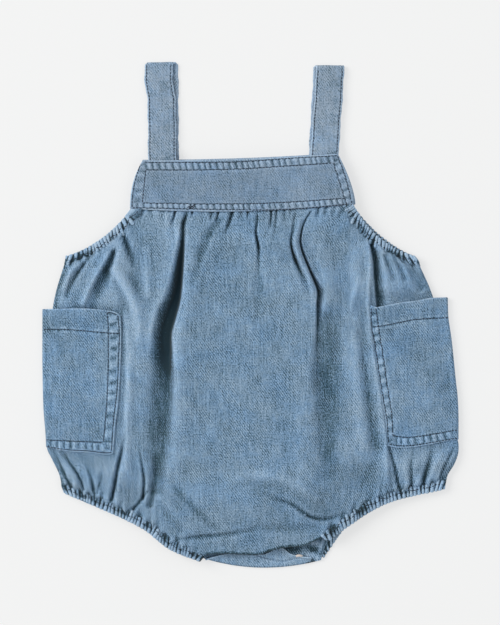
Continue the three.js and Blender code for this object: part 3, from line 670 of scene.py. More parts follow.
def front_height(x, y, top, bottom):
    """How high the front lies at each point of its plan, and how much of that its folds make."""
    edge = edge_height(x)
    middle = smooth((130 - np.abs(x)) / 60)  # 1 down the belly, 0 at the sides
    from_top = smooth((top(x) - y) / mix(18, 30, middle))
    from_bottom = smooth((y - bottom(x)) / mix(22, 55, middle))
    z = edge + (loft(x, y) - edge) * np.minimum(from_top, from_bottom)
    # the cloth blouses above and below the pockets
    beyond = smooth((y - mix(0, 12, x > 0)) / 12) + smooth((mix(-113, -106, x > 0) - y) / 16)
    inset = np.minimum(x - SIDE["left"](y), SIDE["right"](y) - x)
    z += (FLANK_PUFF * beyond * smooth(inset / 8) * smooth((np.abs(x) - 92) / 18)
          * smooth(np.minimum(top(x) - y, y - bottom(x)) / 6))
    # the seams hold the folds down
    held = mix(0.5, 1.0, np.minimum(smooth((top(x) - y) / 9), smooth((y - bottom(x)) / 8)))
    folded = held * sum(fold(x, y, rows, crisp) for crisp, rows in FRONT_FOLDS)
    z += folded
    for start, end, foot, depth, width in YOKE_GATHERS:
        z += GATHER_DEPTH * fold(x, y, [(start, 88, -depth, width, width), (
            mix(start, end, 0.4), mix(86, foot, 0.4), -0.9 * depth, width, width),
            (end, foot, -0.1 * depth, 1.3 * width, 1.3 * width)], 0.6)
    by_arms = smooth((np.abs(x + 6) - 84) / 8)
    z += seam_puckers(top(x) - y, x + 0.4 * y, 0.5 + 0.9 * by_arms, 13, 4.4, 3)
    by_legs = mix(0.2, 1.0, np.maximum(smooth((-36 - x) / 14), smooth((x - 52) / 14)))
    z += seam_puckers(y - bottom(x), x - 0.25 * y, 1.7 * by_legs, 15, 4.2, 4)
    # under a pocket the front lies flat
    for hand, way in (("left", -1), ("right", 1)):
        low, high = POCKET[hand]["inner"][0], POCKET[hand]["inner"][-1]
        inner = np.interp(y, [low[1], high[1]], [low[0], high[0]])
        within = (way * (x - inner) > 1.5) & (y > low[1] - 2) & (y < high[1] + 1)
        z = np.where(within, np.minimum(z, loft(x, y) + 0.2), z)
    z = np.maximum(z, OVER_BACK)
    return z + CLOTH - YOKE_TUCK * smooth((y - yoke_line(x) + 2.5) / 2), folded


def upright(place):
    """A straight line down the plan, for its columns to follow."""
    return lambda y: 0.0 * y + place


def line_beside(rows, aside):
    """A line that runs beside a fold."""
    curve = through([row[:2] for row in rows])
    at = graph(curve, 1, 0)
    return lambda y: at(y) + aside


yoke_line = graph(YOKE_SEAM, 0, 1)
UNDER_YOKE, UNDER_BAND = 2.4, 5.0  # how far a panel runs on under the yoke and the bands
front_top, front_bottom = bounded(YOKE_SEAM + (0, UNDER_YOKE), FRONT_HEM, FRONT_LEG, UNDER_BAND)
deep_rows, rolled_rows = FRONT_FOLDS[0][1], FRONT_FOLDS[3][1]
FRONT_ROWS = 206
x, y = panel_plan([
    (lambda y: SIDE["left"](y) + GAP, 32), (lambda y: mix(-118, -112, smooth(-y / 80)), 26),
    (line_beside(deep_rows, -13), 11), (line_beside(deep_rows, -4), 16),
    (line_beside(deep_rows, 8), 34), (upright(2), 7), (upright(9), 16),
    (line_beside([(31, 85), (29, 60), (38, 40), (48, 15), (46, -40)], 0), 26),
    (line_beside(rolled_rows, 9), 18), (lambda y: mix(90, 104, smooth(-y / 110)), 14),
    (lambda y: mix(104, 116, smooth(-y / 110)), 32), (lambda y: SIDE["right"](y) - GAP, 0),
], front_top, front_bottom, FRONT_ROWS)
z, folded = front_height(x, y, front_top, front_bottom)
face = np.stack([x, y, z], axis=-1)
# the wash bleaches what stands up, and the ridges get painted highlight; what lies deep is painted darker,
# as shade
wear = np.clip(relief(z, 3), -1.6, 0.9) * 0.55 + np.clip(relief(z, 10) / 3.2, -1.4, 0.8) * 0.7
# painted shade in the deep folds, darker the deeper they go
wear -= 0.8 * smooth((-6 - folded) / 6) + 0.3 * smooth(-folded / 3)
# painted shade on the floor and left wall of the deep pleat
PLEAT_SHADE_ROWS = [(-50, 85, 0.2, 3, 2), (-54, 74, 0.35, 4, 2), (-54.3, 62, 0.4, 4, 2),
                (-55.2, 46, 0.7, 6, 2.5), (-56.5, 30, 1, 10, 3), (-58.5, 13, 1, 14.5, 3),
                (-61.8, 0, 1, 19, 3.5), (-66, -15, 1, 18, 4), (-66, -30, 0.8, 19, 4),
                (-66, -46, 0.4, 20, 4), (-67, -66, 0.1, 20, 5)]
wear -= 1.5 * smooth((fold(x, y, PLEAT_SHADE_ROWS) - 0.12) / 0.4)
LIGHT_AND_SHADE_STRIPS = [  # as the folds, with a rise above 0 for a strip of painted highlight and below 0 for a strip of painted shade
    (0.5, [(-66, -20, -0.2, 14, 4), (-69, -45, -0.7, 18, 5), (-71, -75, -0.8, 25, 6),
           (-73, -105, -0.7, 22, 6), (-76, -135, -0.4, 16, 6)]),
    (0.0, [(90, 74, 0.3, 24, 10), (84, 40, 0.5, 24, 12), (88, 0, 0.25, 14, 8),
           (86, -45, 0.25, 12, 8), (92, -125, 0.1, 12, 8)]),
    (0.0, [(62, 6, -0.2, 10, 14), (63, -20, -0.5, 14, 17), (63, -90, -0.5, 14, 18),
           (66, -150, -0.2, 12, 14)]),
    (0.0, [(-113, 42, 0.4, 5, 6), (-103, 27, 0.6, 7, 8), (-96, 10, 0.6, 12, 9),
           (-96, -10, 0.6, 12, 11), (-98, -60, 0.6, 10, 10), (-101, -110, 0.5, 9, 9),
           (-101, -140, 0.2, 8, 8)]),
    (0.0, [(-93, 62, 0.2, 8, 9), (-91, 42, 0.5, 8, 10), (-87, 22, 0.55, 8, 11),
           (-85, 0, 0.3, 8, 10), (-86, -30, 0.15, 8, 8)]),
]
for crisp, rows in LIGHT_AND_SHADE_STRIPS:
    wear += fold(x, y, rows, crisp)
# a paler belly, a darker chest, a painted shadow under the front's hem and painted shade in the creases by
# the bands
wear += 0.3 * smooth(1 - np.hypot(x - 8, y + 112) / 48)
wear -= 0.3 * smooth((y - 30) / 30) * smooth((50 - np.abs(x + 4)) / 14)
# painted shadow: a dark line along the hem's edge, where the hem overhangs the crotch strip
wear -= 1.8 * smooth(1.6 - (y - front_bottom(x))) * smooth((x + 38) / 4) * smooth((62 - x) / 6)
from_band = np.minimum(front_top(x) - y, y - front_bottom(x))
by_band = smooth((np.abs(x + 6) - 66) / 20)
# painted shade in the creases that the bands' elastic pulls into the front
wear -= 1.6 * by_band * smooth(0.1 - ripple(x + 0.3 * y, 3.1, 8)) * smooth(1 - from_band / 9)
body_denim = denim("body_denim", (118, 144, 168), speckle=1.2, wash=0.85)
ON_SLOPES = 0.35  # the threads close up a little on the slopes of the folds
weave = cloth_lengths(face * (1, 1, ON_SLOPES))
front = cloth_piece("front_cloth", face, face - (0, 0, CLOTH), body_denim, weave, wear)
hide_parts("front_panel")


# ---------------------------------------------------------------- back panel
# The back of body and legs: the same gathered denim, one layer, lying flat under the front and riding
# over the hidden halves of the pockets at the sides.
BACK_LIFT = CLOTH + GAP


def back_underside(x):
    """How high the back lies, which is on the pockets at the sides and on the table between them."""
    return BACK_LIFT * smooth((np.abs(x) - 102) / 8)


BACK_ROWS = 130
back_top, back_bottom = bounded(YOKE_SEAM + (0, UNDER_YOKE), BACK_HEM, BACK_LEG, UNDER_BAND)
x, y = panel_plan([
    (lambda y: SIDE["left"](y) + GAP, 24), (upright(-110), 6), (upright(-102), 60),
    (upright(102), 6), (upright(110), 24), (lambda y: SIDE["right"](y) - GAP, 0),
], back_top, back_bottom, BACK_ROWS)
BACK_GATHERS = [  # a gather from the yoke: where it leaves the seam, where it ends, how high, how wide
    (-84, -88, 40, 1.8, 6), (-66, -64, 20, 2.6, 7), (-45, -48, 34, 2.0, 6), (-27, -24, 5, 2.8, 7),
    (-8, -9, 40, 1.6, 6), (12, 14, 10, 2.6, 7), (33, 38, 38, 2.0, 6), (52, 50, 0, 2.8, 8),
    (72, 77, 44, 1.8, 6)]
middle_room = smooth((118 - np.abs(x)) / 30)
z = back_underside(x)
for start, end, foot, rise, width in BACK_GATHERS:
    z += middle_room * fold(x, y, [(start, 86, 0.7 * rise, 0.6 * width, 0.6 * width),
                                   (mix(start, end, 0.5), mix(86, foot, 0.5), rise, width, width),
                                   (end, foot, 0.1 * rise, width, width)])
z = z * mix(1, 0.42, middle_room) + middle_room * (0.55 + seam_puckers(
    back_top(x) - y, x + 0.2 * y, 0.5, 16, 3.6, 11))
z += middle_room * 0.4 * (1 + seam_puckers(y - back_bottom(x), x - 0.3 * y, 1.0, 18, 4.0, 12))
face = np.stack([x, y, z + CLOTH], axis=-1)
# paler where the gathers stand up, darker where they lie deep: partly wear, partly painted shade
wear = np.clip(relief(z, 3) / 0.9, -1, 1) * 0.5
# painted shade on the back's inside, seen through the gap under the front's hem at the crotch
wear -= 2.6 * smooth(1 - np.abs(x - 33) / 14) * smooth(1 - np.abs(y + 190) / 8)
# painted light and shade in ruche-like stripes, where the end of the right leg band shows at the crotch
wear += (2.4 * ripple(x - 0.35 * y, 2.3, 17) - 0.5) * smooth((x - 43) / 4) * smooth((-180 - y) / 5)
back = cloth_piece("back_cloth", face, face - (0, 0, CLOTH), body_denim, cloth_lengths(face), wear)
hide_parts("back_panel")


# ---------------------------------------------------------------- yokes
# The straight bands across chest and back: denim doubled and turned in, top-stitched in dark thread in
# two rows round the edge. The shrunken thread ropes the cloth between the rows.
YOKE_WALL = 1.6
yoke_denim = denim("yoke_denim", (125, 145, 166), speckle=0.85, wash=0.8)


def dark_thread():
    """Navy sewing thread, with its twist as a fine mottle."""
    bench = Bench("dark_thread")
    twist = bench.node("TexNoise", None, {
        "Vector": bench.node("TexCoord", None, None, "Object"), "Scale": 1800.0, "Detail": 2.0})
    colour = bench.node("ValToRGB", {"stops": [
        (0.0, linear(14, 20, 32)), (0.5, linear(30, 40, 58)), (1.0, linear(66, 78, 98))]}, {"Fac": twist})
    normal = bench.node("Bump", None, {"Height": twist, "Strength": 0.5, "Distance": 0.1 * MM})
    return bench.finish(bench.node("BsdfPrincipled", None, {
        "Base Color": colour, "Roughness": 0.75, "Normal": normal}))


thread = dark_thread()


def roping(x, y, row, reach, depth, pitch, seed, slant=0.2):
    """The slanting ripples between two rows of stitches. row runs midway between them."""
    curve = through(row, 12 * len(row))
    length = np.concatenate([[0], np.cumsum(np.linalg.norm(np.diff(curve[:, :2], axis=0), axis=1))])
    distance, side, along = beside(x, y, curve)
    at = np.interp(along, np.arange(len(curve)), length) + slant * distance * side
    return depth * ripple(at, pitch, seed) * smooth((reach - distance) / (0.45 * reach))


STITCH_SIZES = (0.55, 0.95, 1.0, 0.95, 0.55)  # how thick a stitch is along its length


def stitched(name, rows, cloth, from_below=False, step=2.7, length=2.4, width=0.84, seed=1):
    """Rows of stitches in thread, half sunk into a piece of cloth."""
    mesh = cloth.data
    tree = BVHTree.FromPolygons([v.co for v in mesh.vertices], [p.vertices for p in mesh.polygons])
    way = 1 if from_below else -1
    draw = np.random.default_rng(seed)
    ring = np.linspace(0, 2 * math.pi, 7)[:-1]
    points, faces = [], []
    for row in rows:
        curve = through(row, 16 * len(row)) if len(row) > 2 else np.array(row, float)
        steps = np.linalg.norm(np.diff(curve, axis=0), axis=1)
        measure = np.concatenate([[0], np.cumsum(steps)])
        for start in np.arange(0, measure[-1] - 0.6 * length, step):
            centres = []
            aside = draw.uniform(-0.12, 0.12)
            for t in np.linspace(0, 1, len(STITCH_SIZES)):
                at = start + t * length
                px = np.interp(at, measure, curve[:, 0])
                py = np.interp(at, measure, curve[:, 1]) + aside
                found = tree.ray_cast(Vector((px * MM, py * MM, -way * 0.1)), Vector((0, 0, way)))[0]
                if found is None:
                    break
                dip = 0.34 * (2 * t - 1) ** 4 - 0.06
                centres.append((px, py, found.z / MM + way * dip))
            if len(centres) < len(STITCH_SIZES):
                continue
            centres = np.array(centres)
            ahead = np.gradient(centres, axis=0)
            ahead /= np.linalg.norm(ahead, axis=1, keepdims=True)
            across = np.cross(ahead, (0, 0, -way))
            across /= np.maximum(np.linalg.norm(across, axis=1, keepdims=True), 1e-6)
            up = np.cross(across, ahead)
            first = len(points)
            for k, size in enumerate(STITCH_SIZES):
                for angle in ring:
                    points.append(centres[k] + across[k] * (math.cos(angle) * size * width / 2)
                                  + up[k] * (math.sin(angle) * size * width * 0.36))
            sides, last = len(ring), len(STITCH_SIZES) - 1
            for k in range(last):
                for j in range(sides):
                    a, b = first + k * sides + j, first + k * sides + (j + 1) % sides
                    faces.append((a, b, b + sides, a + sides))
            faces.append(tuple(first + j for j in reversed(range(sides))))
            faces.append(tuple(first + last * sides + j for j in range(sides)))
    piece = lay_down(name, points, faces, thread)
    return piece


YOKE_ROWS = [
    [(-88.2, 123.6), (-60, 123.4), (-33.9, 123.3), (-6.7, 123.9), (20.3, 125.8), (45, 127.5),
     (71, 128.8)],
    [(-84.6, 117.4), (-60, 117.2), (-33.9, 117.4), (-6.7, 118.2), (20.3, 119.9), (45, 121.4),
     (67.8, 122.9)],
    [(-95.6, 86.6), (-70, 86.2), (-43.3, 85.5), (-6.7, 84.9), (20.3, 85.0), (50, 86.7), (78.5, 89.6)],
    [(-87.3, 90.4), (-65, 90.1), (-43.3, 89.7), (-6.7, 89.8), (20.3, 90.6), (50, 92.3),
     (77.1, 94.3)],
    [(-88.2, 123.6), (-91, 116), (-93.6, 107), (-95.4, 96), (-95.8, 87)],
    [(-84.6, 117.4), (-85.4, 109), (-86.4, 100), (-87.3, 90.4)],
    [(71, 128.8), (74.5, 120), (77.8, 110), (80.4, 100), (82.6, 89.8)],
    [(67.8, 122.9), (71.2, 112), (74.6, 101), (78.5, 89.6)],
]
YOKE_ROPES = [
    ([(-86, 120.4), (-60, 120.3), (-33.9, 120.4), (-6.7, 121), (20.3, 122.9), (45, 124.4),
      (69, 125.8)], 3.0, 0.62, 2.6, 21),
    ([(-91, 88.3), (-65, 88.1), (-43.3, 87.6), (-6.7, 87.3), (20.3, 87.8), (50, 89.5), (78, 92)],
     2.4, 0.55, 2.4, 22),
    ([(-87, 119), (-89.5, 107), (-91, 96), (-91.8, 89)], 3.6, 0.36, 4.2, 23),
    ([(70, 124), (74.5, 111), (78, 100), (80.5, 92)], 3.6, 0.46, 3.8, 24),
]


def yoke(name, node, height, up, right, sign):
    """A chest or back band. up and right make it that much larger, and sign is 1 where its outer side
    faces up and -1 where it faces the table."""
    columns, rows = 300, 66
    u, v = np.meshgrid(np.linspace(0, 1, columns), np.linspace(0, 1, rows))
    left_edge = mix(YOKE_FOOT["left"], YOKE_HEAD["left"], v ** 2.3)
    right_edge = mix(YOKE_FOOT["right"], YOKE_HEAD["right"], v ** 1.6) + right * (1 - v)
    low = bow(*SEAM_BOW, columns)[:, 1]
    high = bow((YOKE_HEAD["left"], 124.6), (-10, 124.4), (YOKE_HEAD["right"], 130), columns)[:, 1] + up
    x = mix(left_edge, right_edge, u)
    y = mix(low[None, :], high[None, :], v)
    lift = 0.18 * np.sin(x * 0.07 + 1) * np.sin(y * 0.11)
    for row in YOKE_ROWS:
        lift += groove(x, y, row, 0.34, 1.2)
    for row, reach, depth, pitch, seed in YOKE_ROPES:
        lift += roping(x, y, row, reach, depth, pitch, seed)
    lift *= sign
    z = height(x) + YOKE_WALL / 2 + lift
    middle = np.stack([x, y, z], axis=-1)
    edge = np.minimum(np.minimum(v * 40, (1 - v) * 40), np.minimum(u, 1 - u) * 180)
    wear = np.clip(sign * relief(z, 3) / 0.26, -1, 1) * 1.1 + 1.1 * smooth(1 - edge / 0.8)
    wear += 0.12 * np.sin(x * 0.09 + y * 0.05)
    piece = shell(name, middle, YOKE_WALL, 0 * x, yoke_denim, wear, 0.5)
    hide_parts(node)
    return piece


front_band = yoke("front_yoke_cloth", "front_yoke", edge_height, 0, 0, 1)
front_rows = stitched("front_yoke_stitches", YOKE_ROWS, front_band)
back_band = yoke("back_yoke_cloth", "back_yoke", lambda x: 0 * x, 1, 1.4, -1)
back_rows = stitched("back_yoke_stitches", YOKE_ROWS, back_band, from_below=True, seed=2)
knot = stitched("yoke_thread_knot", [
    [(-51, 86.6), (-48, 88.2), (-45.6, 86.8)], [(-50.4, 87.6), (-47, 86.2), (-44.8, 88.4)],
    [(-49.6, 86), (-46.4, 88), (-44.2, 90)]], front_band, step=1.1, length=1.6, width=0.7, seed=3)


# ---------------------------------------------------------------- straps
# Two flat tubes of greyer denim, stitched close to each edge. Each comes up from behind the front
# yoke, folds over at the shoulder and goes down on to the back yoke.
STRAP_WALL = 1.5
STRAP_LOFT = 2.6  # gap that the front leaf stands over the table
STRAP_WIDTH = {"front": 22.2, "back": 23.3}
STRAP_STEP = 0.8
SEAM_INSET = 1.3  # from a strap's edge to its stitches
strap_denim = denim("strap_denim", (138, 155, 173), speckle=0.85, wash=0.9)
STRAPS = {
    "left": {
        "front": [(-71, 112), (-71.4, 127), (-71.6, 150), (-71.9, 172), (-73.2, 182), (-74.2, 190),
                  (-74.2, 205.4)],
        "back": [(-70, 112), (-70, 125), (-70.2, 165), (-70.4, 205.4)]},
    "right": {
        "front": [(60.4, 116), (60.8, 131), (61.9, 150), (63.4, 170), (64.6, 188), (65.4, 203)],
        "back": [(59.6, 116), (59.8, 129), (61.8, 165), (64, 203)]},
}


def strap(hand, seed):
    """A strap: its front leaf, the fold at the shoulder, and its back leaf."""
    front, back = through(STRAPS[hand]["front"], 200), through(STRAPS[hand]["back"], 200)
    front_x, back_x = graph(front, 1, 0), graph(back, 1, 0)
    half = STRAP_WALL / 2
    foot, shoulder_y = front[0, 1], front[-1, 1]
    flat = half + STRAP_LOFT
    radius = (flat - half) / 2
    turn_y = shoulder_y - radius - half
    under = edge_height(front[0, 0]) - 2 * GAP - half
    y = np.arange(foot, turn_y, STRAP_STEP)
    rise = smooth((y - foot - 14) / 14)
    front_rows = np.stack([front_x(y), y, mix(under, flat, rise)], axis=1)
    angle = np.radians(np.linspace(9, 171, 12))
    turn_rows = np.stack([mix(front_x(turn_y), back_x(turn_y), angle / math.pi),
                          turn_y + radius * np.sin(angle), half + radius * (1 + np.cos(angle))], axis=1)
    y = np.arange(turn_y, foot, -STRAP_STEP)
    on_yoke = mix(YOKE_WALL + GAP + half, half, smooth((y - back[0, 1] - 15) / 9))
    back_rows = np.stack([back_x(y), y, on_yoke], axis=1)
    centre = np.vstack([front_rows, turn_rows, back_rows])
    on_front = np.concatenate([
        np.ones(len(front_rows)), (1 + np.cos(angle)) / 2, np.zeros(len(back_rows))])
    width = mix(STRAP_WIDTH["back"], STRAP_WIDTH["front"], on_front)[:, None]
    tilt = 0.045 * np.sign(-front[0, 0]) * on_front * smooth((foot + 26 - centre[:, 1]) / 14)
    c = np.linspace(-0.5, 0.5, 34)[None, :]
    draw = np.random.default_rng(seed)
    phase = draw.uniform(0, 6, 6)
    s = np.arange(len(centre))[:, None] * STRAP_STEP
    waver = 0.25 * np.sin(s * 0.23 + phase[0]) + 0.15 * np.sin(s * 0.61 + phase[1])
    x = centre[:, [0]] + width * c + waver
    y = centre[:, [1]] + 0 * c
    z = centre[:, [2]] + tilt[:, None] * width * c
    from_edge = (0.5 - np.abs(c)) * width
    lift = -0.3 * smooth(1 - np.abs(from_edge - SEAM_INSET) / 1.1)
    lift = lift + 0.14 * ripple(s + 3 * np.sign(c), 3.2, seed + 5) * smooth(
        1 - np.abs(from_edge - 2.6) / 2.6)
    lift = lift + 0.16 * np.sin(s * 0.09 + c * 3 + phase[2]) + 0.08 * np.sin(s * 0.35 + c * 9 + phase[3])
    lift = np.where(on_front[:, None] > 0.02, lift, -np.abs(lift))
    pale_edge = mix(3.4, 0.7, on_front[:, None])
    wear = np.clip(relief(lift, 3) / 0.16, -1, 1) * 0.5 + 0.9 * smooth(1 - from_edge / pale_edge)
    wear = wear - 0.3 * smooth(0.5 + 0.9 * np.sin(s * 0.31 + phase[4]) * np.sin(s * 0.11)) * smooth(
        (c + 0.12) / 0.3) * smooth((0.46 - c) / 0.1)
    piece = shell(f"strap_{hand}_cloth", np.stack([x, y, z], axis=-1), STRAP_WALL, lift, strap_denim,
                  wear, 0.4)
    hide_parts(f"strap_{hand}")
    rows = {}
    for name, path, low in (("front", front, foot + 13), ("back", back, foot + 2)):
        path = path[(path[:, 1] > low) & (path[:, 1] < turn_y - 0.5)]
        rows[name] = [path + (side * (STRAP_WIDTH[name] / 2 - SEAM_INSET), 0) for side in (-1, 1)]
    seams = [stitched(f"strap_{hand}_front_stitches", rows["front"], piece, seed=seed + 1),
             stitched(f"strap_{hand}_back_stitches", rows["back"], piece, from_below=True, seed=seed + 2)]


strap("left", 31)
strap("right", 32)


# ---------------------------------------------------------------- pockets
# A patch of denim wrapped round each side: hemmed at its open top with one row, sewn down at its inner
# and lower edges with two. Its hidden half lies under the back.
pocket_denim = denim("pocket_denim", (114, 141, 166), speckle=1.15)


def even(points, count):
    """A smooth curve through every point, in steps of one length."""
    curve = through(points, 40 * len(points))
    length = np.concatenate([[0], np.cumsum(np.linalg.norm(np.diff(curve, axis=0), axis=1))])
    at = np.linspace(0, length[-1], count)
    return np.stack([np.interp(at, length, curve[:, k]) for k in (0, 1)], axis=1)


POCKET_ROWS = {
    "left": {
        "hem": [(-168, -12.1), (-151.8, -12.1), (-136.6, -13.1), (-119.4, -14.6), (-105.8, -15.4)],
        "outer": [(-107.2, -0.4), (-105.9, -14.6), (-106.3, -29.9), (-107.3, -55.2), (-108.8, -70.5),
                  (-110.6, -85.7), (-112.4, -111.6)],
        "inner": [(-115.8, 1.8), (-114.8, -14.6), (-115.3, -55.2), (-116.8, -80.6), (-118.9, -103.9)],
        "low": [(-165.8, -101.9), (-156.9, -102.4), (-136.6, -103.1), (-119.2, -103.9)],
        "edge": [(-165, -107.1), (-156.9, -108.8), (-144.7, -110.2), (-131.6, -110.8), (-117.3, -112.3),
                 (-112.4, -111.8)],
        "bar": [(-115.6, 1.6), (-111, 0.9), (-107.4, -0.6)]},
    "right": {
        "hem": [(161, -2.6), (147.2, -3.2), (132, -4.3), (123.8, -6), (108.6, -9), (98.6, -10.3)],
        "outer": [(98.2, 5.4), (98.8, -10.6), (100.7, -20.7), (103.2, -36.9), (105.6, -53.2),
                  (108.6, -71.5), (111.2, -86.7), (112.3, -104.8)],
        "inner": [(102, 5.0), (104.3, -10.6), (105.9, -20.7), (108.4, -36.9), (110.6, -53.2),
                  (113.2, -69.4), (115.2, -84), (115.9, -98.3)],
        "low": [(168.6, -94), (154.3, -96.3), (139, -98.7), (126.9, -99.7), (115.9, -98.3)],
        "edge": [(168.6, -100.5), (159.4, -101.9), (146.2, -104.2), (134, -106), (121.8, -106.6),
                 (112.3, -105)],
        "bar": []},
}


def pocket(hand, way, seed):
    """A pocket: its front half, the fold round the side, and its rear half. way is -1 on the left."""
    shape = POCKET[hand]
    rows, columns, turn_columns, rear_columns = 150, 84, 14, 26
    reach = 112.0  # how far out the rear half ends
    bottom, top = even(shape["bottom"], columns), even(shape["top"], columns)
    inner, outer = even(shape["inner"], rows), even(shape["outer"], rows)
    t = np.linspace(0, 1, columns)[None, :, None]
    v = np.linspace(0, 1, rows)[:, None, None]
    corners = (mix(bottom[0], bottom[-1], t) * (1 - v) + mix(top[0], top[-1], t) * v)
    plan = (bottom[None] * (1 - v) + top[None] * v + inner[:, None] * (1 - t) + outer[:, None] * t
            - corners)
    half = CLOTH / 2
    front_middle = lambda x, y: loft(x, y) + CLOTH + 2 * GAP + half
    fold_x, fold_y = plan[:, -1, 0], plan[:, -1, 1]
    fold_z = front_middle(fold_x, fold_y)
    radius = (fold_z - half) / 2
    turn_x = fold_x - way * (radius + half)
    share = ((turn_x - plan[:, 0, 0]) / (fold_x - plan[:, 0, 0]))[:, None]
    x = plan[:, [0], 0] + (plan[..., 0] - plan[:, [0], 0]) * share
    y = plan[..., 1]
    t, v = t[..., 0], v[..., 0]
    z = mix(front_middle(x, y), fold_z[:, None], smooth((t - 0.8) / 0.2))
    lift = 0.35 * np.sin(x * 0.06 + y * 0.035 + seed) * np.sin(y * 0.05 + 1) + 0.3 * smooth(
        (y - np.interp(x, *np.array(sorted(POCKET_ROWS[hand]["hem"])).T)) / 1.2)
    for key, row in POCKET_ROWS[hand].items():
        if row:
            lift = lift + groove(x, y, row, 0.34, 1.2)
    between = {k: even(POCKET_ROWS[hand][k], 7) for k in ("outer", "inner", "low", "edge")}
    lift += roping(x, y, (between["outer"] + between["inner"]) / 2, 3.5, 0.5, 4.4, seed + 1, 0.1)
    lift += roping(x, y, (between["low"] + between["edge"]) / 2, 3.2, 0.55, 2.9, seed + 2, 0.1)
    lift += roping(x, y, even(POCKET_ROWS[hand]["hem"], 7), 3.6, 0.16, 3.4, seed + 3, 0.3)
    lift += 1.4 * np.sin(math.pi * t) * smooth((v - 0.86) / 0.14)
    lift *= smooth((1 - t) / 0.08)
    angle = np.radians(np.linspace(8, 172, turn_columns))[None, :]
    turn = [turn_x[:, None] + way * radius[:, None] * np.sin(angle), fold_y[:, None] + 0 * angle,
            half + radius[:, None] * (1 + np.cos(angle))]
    b = np.linspace(0, 1, rear_columns)[None, :]
    rear = [mix(turn_x[:, None], way * reach, b), mix(fold_y[:, None], y[:, [0]], b),
            half + 0 * b + 0 * y[:, :1]]
    middle = np.concatenate([np.stack([x, y, z], axis=-1), np.stack(turn, axis=-1),
                             np.stack(rear, axis=-1)], axis=1)
    hidden = np.zeros((rows, turn_columns + rear_columns))
    from_edge = np.minimum(np.minimum(v, 1 - v) * 112, (t + 0 * v) * 58)
    worn = np.clip(relief(lift, 3) / 0.22, -1, 1) + 1.2 * smooth(1 - from_edge / 0.8)
    lift = np.concatenate([lift, hidden], axis=1)
    wear = np.concatenate([worn, hidden], axis=1) + 0.2 * (way > 0)
    piece = shell(f"pocket_{hand}_cloth", middle, CLOTH, lift, pocket_denim, wear, 0.4)
    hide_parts(f"pocket_{hand}")
    seam = stitched(f"pocket_{hand}_stitches", [row for row in POCKET_ROWS[hand].values() if row], piece,
                    seed=seed + 4)


pocket("left", -1, 41)
pocket("right", 1, 51)


# ---------------------------------------------------------------- armhole and leg bands
# Narrow casings of the body denim over elastic, run round each opening: along the front, folded at the
# side, and back along the back. The elastic draws them into tight ruches.
BAND_WIDTH, BAND_WALL = 7.5, 1.5
BAND_STEPS, SIDE_STEPS = 300, 9  # along a band, and round its fold at the side
SIDE_ROOM = 5  # steps that a band stops short of the side, where it folds
MITRE = {
    ("armhole", "left"): {"start": (1.25, 0), "end": (-0.2, -1), "turn": 1},
    ("armhole", "right"): {"start": (-1.1, -0.12), "end": (0.5, -1), "turn": -1},
    ("leg", "left"): {"start": (-0.22, 1), "end": (0.5, 0.55), "turn": 1},
    ("leg", "right"): {"start": (0.15, 1), "end": (-0.9, 0.6), "turn": -1},
}


def ruches(s, pitch, seed):
    """Rounded lobes with deep creases between them, 0 in a crease to 1 on a lobe, and how far each lobe
    runs on past the seam, 0 to 1."""
    draw = np.random.default_rng(seed)
    steps = draw.uniform(0.6, 1.5, int(np.ptp(s) / pitch * 1.8) + 8) * pitch
    places = s.min() - 2 * pitch + np.cumsum(steps)
    phase = np.interp(s, places, np.arange(len(places)))
    height = np.interp(s, places, draw.uniform(0.6, 1.0, len(places)))
    runs_on = draw.uniform(0, 1, len(places))[np.clip(phase.astype(int), 0, len(places) - 1)]
    return height * np.abs(np.sin(math.pi * phase)) ** 1.3, runs_on


def band_layer(curve, mitre, slip, seed, smooth_start, fringe):
    """One run of a casing: its plan points and how each stands in the ruches."""
    curve = even(curve, BAND_STEPS)
    along = np.linspace(0, 1, len(curve))[:, None]
    tangent = np.gradient(curve, axis=0)
    tangent /= np.linalg.norm(tangent, axis=1, keepdims=True)
    normal = np.stack([-tangent[:, 1], tangent[:, 0]], axis=1) * mitre["turn"]
    across = mix(np.array(mitre["start"]), normal, smooth(along / 0.2))
    across = mix(across, np.array(mitre["end"]), smooth((along - 0.8) / 0.2))
    length = np.linalg.norm(np.diff(curve, axis=0), axis=1).sum()
    t = np.linspace(0, 1, 20)[None, :]
    lean = 0.5 * normal[:, [0]] / np.where(np.abs(tangent[:, [0]]) < 0.3, 0.3, tangent[:, [0]])
    s = along * length + lean * BAND_WIDTH * t * (1 + 0.7 * ripple(along * length, 11, seed + 9))
    lobe, runs_on = ruches(s, 2.9, seed)
    tame = mix(1, smooth((along - smooth_start) / 0.1), 1.0 if smooth_start else 0.0)
    lobe = mix(0.7, lobe, tame)
    ends = smooth(along / 0.05) * smooth((1 - along) / 0.05)
    inset = BAND_WIDTH * t + 1.0 * (1 - lobe) * (1 - t) ** 2 + slip * np.sin(math.pi * along)
    inset = inset + fringe * ends * (runs_on * lobe ** 2 - 0.15) * smooth((t - 0.5) / 0.5)
    plan = curve[:, None] + across[:, None] * inset[..., None]
    return plan, lobe, t + 0 * lobe


